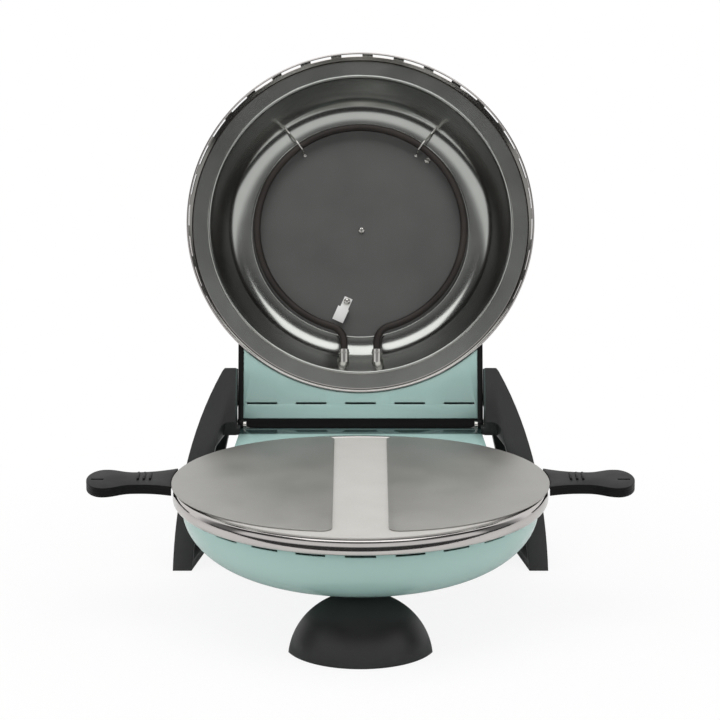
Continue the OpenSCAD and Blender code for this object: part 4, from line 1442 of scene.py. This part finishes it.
@dataclass
class Peel:
    """One pizza peel, drawn for the left side and mirrored for the right one."""

    side: str
    blade_r: float = 145.5 * MM
    centre: Point = (-21.2 * MM, 7.0 * MM)
    inner_x: float = -24.0 * MM
    corner: float = 9.0 * MM
    edge: float = 0.35 * MM
    blade_gap: float = 0.3 * MM
    grip_y: float = 13.0 * MM
    grip_l: float = 75.5 * MM
    grip_w: float = 58.6 * MM
    round_over: float = 1.4 * MM
    grip_h: float = 8.5 * MM
    waist: float = 0.68
    waist_at: float = 0.45
    palm_at: float = 0.79
    slot: Point = (11.0 * MM, 3.2 * MM)
    slot_gap: float = 4.2 * MM
    rib: Point = (2.2 * MM, 21.0 * MM)
    rib_y: float = 8.5 * MM
    rib_edge: float = 0.6 * MM
    rib_pitch: float = 5.4 * MM
    rib_start: float = 19.2 * MM
    skew: float = 3.5 * MM
    grooves: tuple[float, ...] = (3.4 * MM, 5.8 * MM)
    groove: float = 0.5 * MM

    @property
    def mirror(self) -> Matrix:
        """The move from the left side to this peel's side."""
        return Matrix.Scale(-1, 4, (1, 0, 0)) if self.side == "right" else Matrix.Identity(4)

    def build(self) -> None:
        """Builds and hands over the blade and the handle."""
        body = f"peel_{self.side}"
        blade = self.blade()
        grip = self.grip()
        for obj in (blade, grip):
            settle(obj, self.mirror)
            tidy(obj)
            smooth(obj, 38)
        node = f"{self.side}_peel"
        Piece(blade, body, Finishes.peel, "peel_steel", (f"{node}_sheet",)).hand_over()
        Piece(grip, body, Finishes.grip, "gloss_black", (f"{node}_handle",)).hand_over()

    def blade(self) -> bpy.types.Object:
        """Cuts the blade from sheet: most of a disc, with two rounded inner corners."""
        low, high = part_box("left_peel_sheet")
        cx = self.inner_x - self.corner
        reach = self.blade_r - self.corner
        dx = cx - self.centre[0]
        dy = math.sqrt(reach * reach - dx * dx)
        a = math.degrees(math.atan2(dy, dx))
        y = self.centre[1]
        outline = arc(self.centre, self.blade_r, self.blade_r, a, 360 - a, 120)
        outline += arc((cx, y - dy), self.corner, self.corner, 360 - a, 360, 10)[1:]
        outline += arc((cx, y + dy), self.corner, self.corner, 0, a, 10)[:-1]
        obj = slab(f"{self.side}_blade", outline, low.z, high.z)
        apply_modifier(
            obj,
            "BEVEL",
            width=self.edge,
            segments=3,
            limit_method="ANGLE",
            angle_limit=math.radians(60),
        )
        return obj

    def edge_line(self) -> list[Point]:
        """Gives one long edge of the handle, from the root to the tip, as reach and half width."""
        # The curves' handles are shares of the length and of the half width
        w, length, waist = self.grip_w / 2, self.grip_l, self.grip_w / 2 * self.waist
        before, after = length * (self.waist_at - 0.01), length * (self.waist_at + 0.01)
        palm = length * self.palm_at
        root = ((-4 * MM, w * 1.02), (length * 0.16, w * 0.72))
        line = bezier(*root, (length * 0.28, waist), (before, waist), 14)
        line += bezier((after, waist), (length * 0.6, w * 0.7), (length * 0.65, w), (palm, w), 14)
        return line + arc((palm, 0), length - palm, w, 84, 0, 16)

    def grip(self) -> bpy.types.Object:
        """Shapes the handle: rounded edges, side grooves, three ribs and a hanging slot."""
        low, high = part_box("left_peel_handle")
        top = low.z + self.grip_h
        tip = self.centre[0] - self.blade_r
        clear = self.blade_r + self.blade_gap
        sides: dict[int, list[Point]] = {1: [], -1: []}
        for reach, half in self.edge_line():
            lean = self.skew * max(0.0, 1 - reach / (0.8 * self.grip_l))
            for sign, line in sides.items():
                x, y = tip - reach, self.grip_y + lean + sign * half
                if math.dist((x, y), self.centre) > clear:
                    line.append((x, y))
        back, front = sides[1], sides[-1]
        ends = [
            math.degrees(math.atan2(y - self.centre[1], x - self.centre[0])) % 360
            for x, y in (front[0], back[0])
        ]
        root = arc(self.centre, clear, clear, *ends, 14)
        obj = self.grooved(back + front[::-1][1:] + root[1:-1], low.z, top)
        apply_modifier(
            obj,
            "BEVEL",
            width=self.round_over,
            segments=4,
            limit_method="ANGLE",
            angle_limit=math.radians(60),
        )
        slot_x = tip - self.grip_l + self.slot_gap + self.slot[0] / 2
        slot_y = self.grip_y - self.slot[1] / 4
        cut(obj, self.block("slot", (slot_x, slot_y), self.slot, (low.z - MM, top + MM)))
        ribs = []
        for index in range(3):
            at = (tip - self.rib_start - index * self.rib_pitch, self.grip_y + self.rib_y)
            rib = self.block(f"rib_{index}", at, self.rib, (top - MM, high.z))
            apply_modifier(rib, "BEVEL", width=self.rib_edge, segments=3, limit_method="ANGLE")
            ribs.append(rib)
        return joined([obj] + ribs, f"{self.side}_grip")

    def grooved(self, outline: Sequence[Point], low: float, high: float) -> bpy.types.Object:
        """Raises the grip's outline in steps, drawn in a little at each groove round its side.

        Args:
            outline: The grip's outline.
            low: Height of its lower face.
            high: Height of its upper face.

        Returns:
            The grooved block.
        """
        depth = self.groove
        share = 1 - 2 * depth / max(self.grip_l, self.grip_w)
        levels = (*self.grooves, high - low + depth)
        obj = slab(f"{self.side}_grip", outline, low, low + levels[0] - depth)
        for level, after in zip(levels, levels[1:]):
            rises = ((depth, share), (depth, 1 / share), (after - level - 2 * depth, 1.0))
            for rise, size in rises:
                top = max(vertex.co.z for vertex in obj.data.vertices) - SAME_POINT
                pick(obj, lambda centre, normal: normal.z > 0.9 and centre.z > top)
                bpy.ops.mesh.extrude_region_move(TRANSFORM_OT_translate={"value": (0, 0, rise)})
                bpy.ops.transform.resize(value=(size, size, 1))
                close_edit()
        return obj

    def block(
        self, name: str, centre: Point, size: Point, span: tuple[float, float]
    ) -> bpy.types.Object:
        """Makes a plain block from its centre, its plan size and its lowest and highest points."""
        hx, hy = size[0] / 2, size[1] / 2
        signs = ((-1, -1), (1, -1), (1, 1), (-1, 1))
        corners = [(centre[0] + sx * hx, centre[1] + sy * hy) for sx, sy in signs]
        return slab(f"{self.side}_{name}", corners, *span)


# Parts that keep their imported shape, with rounded edges


@dataclass(frozen=True)
class Trim:
    """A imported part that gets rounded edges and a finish."""

    node: str
    finish: Finish
    slot: str
    body: str = "base"
    place: Place = Place.BASE
    width: float = 0.5 * MM
    segments: int = 2
    sharp: float = 30

    def build(self) -> None:
        """Copies the part, rounds it and hands it over."""
        obj = refined(self.node, f"{self.node}_dressed", self.width, self.segments, self.sharp)
        Piece(obj, self.body, self.finish, self.slot, (self.node,), self.place).hand_over()


def trims() -> list[Trim]:
    """Lists the parts that are refined copies."""
    lid = {"body": "lid", "place": Place.LID}
    return [
        # The rear box wears the enamel with painted shade on its deck
        Trim("rear_box", Finishes.deck, "mint_enamel", width=0.8 * MM),
        Trim("left_leg", Finishes.nylon, "black_plastic", width=0.9 * MM),
        Trim("right_leg", Finishes.nylon, "black_plastic", width=0.9 * MM),
        Trim("front_foot", Finishes.foot, "black_plastic", width=0.9 * MM),
        Trim("lid_rear_cover", Finishes.mint, "mint_enamel", width=0.6 * MM, **lid),
        Trim("lid_vent_panel", Finishes.mint, "mint_enamel", width=0.25 * MM, **lid),
        Trim("lid_hinge_frame", Finishes.black_enamel, "black_enamel", width=0.6 * MM, **lid),
        Trim(
            "control_housing", Finishes.bakelite, "gloss_black", width=1.6 * MM, segments=4, **lid
        ),
        Trim("lid_handle", Finishes.bakelite, "black_plastic", width=1.2 * MM, segments=3, **lid),
        Trim(
            "thermostat_knob", Finishes.bakelite, "black_plastic", "knob", Place.LID, 0.5 * MM
        ),
        Trim("sensor_clip", Finishes.zinc, "bright_steel", width=0.15 * MM, **lid),
        Trim("base_service_cover", Finishes.primer, "service_steel", width=0.3 * MM),
    ]


DRESSED: dict[str, tuple[Finish, Place]] = {
    "lower_reflector": (Finishes.reflector, Place.BASE),
    "reflector_posts": (Finishes.bright, Place.BASE),
    "lower_element": (Finishes.sheath, Place.BASE),
    "lower_ferrules": (Finishes.bright, Place.BASE),
    "lower_element_clips": (Finishes.bright, Place.BASE),
    "terminal_block": (Finishes.steatite, Place.BASE),
    "cord_gland": (Finishes.nylon, Place.BASE),
    "front_foot_pad": (Finishes.rubber, Place.BASE),
    "leg_pads": (Finishes.rubber, Place.BASE),
    "leg_screws": (Finishes.bright, Place.BASE),
    "base_screws": (Finishes.bright, Place.BASE),
    "hinge_pins": (Finishes.bright, Place.BASE),
    "reflector_plate": (Finishes.dark_plate, Place.LID),
    "reflector_stud": (Finishes.bright, Place.LID),
    "frame_screws": (Finishes.bright, Place.LID),
    "thermostat_body": (Finishes.steatite, Place.LID),
    "pilot_lens": (Finishes.amber, Place.LID),
    "left_peel_rivets": (Finishes.bright, Place.BASE),
    "right_peel_rivets": (Finishes.bright, Place.BASE),
}


# Studio


@dataclass(frozen=True)
class Softbox:
    """A square area lamp that points at the oven. Only a mirrored one shows in polished metal."""

    name: str
    at: tuple[float, float, float]
    size: float
    power: float
    mirrored: bool = False

    def hang(self, target: Vector) -> None:
        """Adds the lamp, turned to its target."""
        bpy.ops.object.light_add(type="AREA", location=self.at)
        lamp = bpy.context.object
        lamp.name = self.name
        lamp.data.size = self.size
        lamp.data.energy = self.power
        lamp.visible_glossy = self.mirrored
        lamp.rotation_euler = (target - Vector(self.at)).to_track_quat("-Z", "Y").to_euler()


@dataclass
class Studio:
    """Camera, lamps, floor and surroundings, in metres."""

    ground: float = -0.120
    camera_at: tuple[float, float, float] = (0.0, -3.0665, 0.9147)
    pitch: float = 14.64
    focal_px: float = 3635.0
    frame_px: float = 720.0
    sensor_mm: float = 36.0
    centre_px: float = 360.5
    target: tuple[float, float, float] = (0.0, 0.05, 0.1)
    softboxes: tuple[Softbox, ...] = (
        Softbox("overhead_softbox", (0.0, -0.2, 2.0), 1.8, 18.0, mirrored=True),
        Softbox("left_softbox", (-2.0, -1.0, 0.9), 1.0, 9.0),
        Softbox("right_softbox", (2.0, -1.0, 0.9), 1.0, 6.0),
    )
    table_size: Point = (6.0, 4.0)
    table_y: float = 1.55
    fade_from: float = 0.25
    fade_to: float = 0.6
    fade_least: float = 0.88
    even_light: float = 0.62
    # Screens stand in front and at the sides, up to about 28 degrees, under a dark ceiling
    by_height: tuple[Point, ...] = (
        (-1.0, 0.05),
        (0.02, 0.05),
        (0.09, 0.9),
        (0.47, 0.9),
        (0.57, 0.17),
        (0.66, 0.08),
        (1.0, 0.08),
    )
    # They leave a dark gap beside the oven
    by_depth: tuple[Point, ...] = (
        (-1.0, 1.0),
        (-0.26, 1.0),
        (-0.12, 0.2),
        (0.17, 0.2),
        (0.45, 1.0),
        (1.0, 1.0),
    )
    # The white wall behind the oven
    behind: tuple[Point, ...] = ((-1.0, 0.0), (0.17, 0.0), (0.45, 1.0), (1.0, 1.0))

    def build(self) -> None:
        """Sets up all of the studio."""
        bpy.context.scene.view_settings.view_transform = "Standard"
        self.camera()
        self.floor()
        for softbox in self.softboxes:
            softbox.hang(Vector(self.target))
        self.surroundings()

    def camera(self) -> None:
        """Places the camera where the photograph was taken from."""
        bpy.ops.object.camera_add(
            location=self.camera_at, rotation=(math.radians(90 - self.pitch), 0, 0)
        )
        camera = bpy.context.object
        camera.name = "camera"
        camera.data.sensor_width = self.sensor_mm
        camera.data.lens = self.focal_px / self.frame_px * self.sensor_mm
        camera.data.shift_x = (self.frame_px / 2 - self.centre_px) / self.frame_px
        camera.data.clip_end = 50
        bpy.context.scene.camera = camera

    def floor(self) -> None:
        """Lays a pale table that ends in front of the oven and fades to white far from it."""
        bpy.ops.object.select_all(action="DESELECT")
        bpy.ops.mesh.primitive_plane_add(size=1, location=(0, self.table_y, self.ground))
        floor = bpy.context.object
        floor.name = "table"
        floor.scale = (*self.table_size, 1)
        settle(floor)
        made = bpy.data.materials.new("pale_table")
        made.use_nodes = True
        tree = made.node_tree
        shader = tree.nodes["Principled BSDF"]
        shader.inputs["Base Color"].default_value = linear("F4F4F3")
        shader.inputs["Roughness"].default_value = 0.9
        shader.inputs["Specular IOR Level"].default_value = 0.1
        at = add_node(tree, "ShaderNodeTexCoord").outputs["Object"]
        away = add_node(tree, "ShaderNodeVectorMath", {"operation": "LENGTH"}, i0=at)
        fade = add_node(
            tree,
            "ShaderNodeMapRange",
            {
                "interpolation_type": "SMOOTHSTEP",
                "From Min": self.fade_from,
                "From Max": self.fade_to,
                "To Min": self.fade_least,
            },
            Value=away.outputs["Value"],
        )
        path = add_node(tree, "ShaderNodeLightPath")
        seen = add_node(
            tree,
            "ShaderNodeMath",
            {"operation": "MAXIMUM"},
            i0=path.outputs["Is Camera Ray"],
            i1=path.outputs["Is Transmission Ray"],
        )
        share = add_node(
            tree,
            "ShaderNodeMath",
            {"operation": "MULTIPLY"},
            i0=fade.outputs[0],
            i1=seen.outputs[0],
        )
        white = add_node(tree, "ShaderNodeEmission", {"Strength": 1.0})
        mix = add_node(
            tree,
            "ShaderNodeMixShader",
            i0=share.outputs[0],
            i1=shader.outputs[0],
            i2=white.outputs[0],
        )
        tree.links.new(mix.outputs[0], tree.nodes["Material Output"].inputs["Surface"])
        floor.data.materials.append(made)

    def graded(
        self, tree: bpy.types.NodeTree, value: bpy.types.NodeSocket, stops: Sequence[Point]
    ) -> bpy.types.NodeSocket:
        """Gives a brightness that runs through stops along one axis of the view direction.

        Args:
            tree: The node tree.
            value: A direction's share along the axis, from -1 to 1.
            stops: The share and the brightness there, in order.

        Returns:
            The brightness.
        """
        unit = add_node(tree, "ShaderNodeMapRange", {"From Min": -1.0}, Value=value)
        ramp = add_node(tree, "ShaderNodeValToRGB", None, Fac=unit.outputs[0])
        points = ramp.color_ramp.elements
        for share, bright in stops[1:-1]:
            points.new((share + 1) / 2)
        for point, (share, bright) in zip(points, stops):
            point.position = (share + 1) / 2
            point.color = (bright, bright, bright, 1.0)
        return ramp.outputs["Color"]

    def surroundings(self) -> None:
        """Lights the scene evenly, is white to the camera and shows the screens in metal."""
        world = bpy.data.worlds.new("studio")
        bpy.context.scene.world = world
        world.use_nodes = True
        tree = world.node_tree
        path = add_node(tree, "ShaderNodeLightPath")
        at = add_node(tree, "ShaderNodeTexCoord").outputs["Generated"]
        parts = add_node(tree, "ShaderNodeSeparateXYZ", None, Vector=at)
        height = self.graded(tree, parts.outputs["Z"], self.by_height)
        around = self.graded(tree, parts.outputs["Y"], self.by_depth)
        back = self.graded(tree, parts.outputs["Y"], self.behind)
        screens = add_node(
            tree, "ShaderNodeMath", {"operation": "MULTIPLY"}, i0=height, i1=around
        )
        front = add_node(
            tree, "ShaderNodeMath", {"operation": "MAXIMUM"}, i0=screens.outputs[0], i1=back
        )
        even = add_node(tree, "ShaderNodeBackground", {"Strength": self.even_light})
        shown = add_node(tree, "ShaderNodeBackground", {"Strength": 1.0})
        mirrored = add_node(tree, "ShaderNodeBackground", None, Strength=front.outputs[0])
        for node in (even, shown, mirrored):
            node.inputs["Color"].default_value = (1, 1, 1, 1)
        glossy = add_node(
            tree,
            "ShaderNodeMixShader",
            i0=path.outputs["Is Glossy Ray"],
            i1=even.outputs[0],
            i2=mirrored.outputs[0],
        )
        direct = add_node(
            tree,
            "ShaderNodeMath",
            {"operation": "MAXIMUM"},
            i0=path.outputs["Is Camera Ray"],
            i1=path.outputs["Is Transmission Ray"],
        )
        final = add_node(
            tree,
            "ShaderNodeMixShader",
            i0=direct.outputs[0],
            i1=glossy.outputs[0],
            i2=shown.outputs[0],
        )
        tree.links.new(final.outputs[0], tree.nodes["World Output"].inputs["Surface"])


def main() -> None:
    """Builds the studio and every sub-assembly in turn."""
    logging.basicConfig(level=logging.INFO, format="%(name)s %(message)s")
    Studio().build()
    BaseMetal().build()
    LidMetal().build()
    for side in ("left", "right"):
        Peel(side).build()
    for trim in trims():
        trim.build()
    for node, (finish, place) in DRESSED.items():
        dress(frame["nodes"][node], finish, place)


if __name__ == "__main__":
    main()
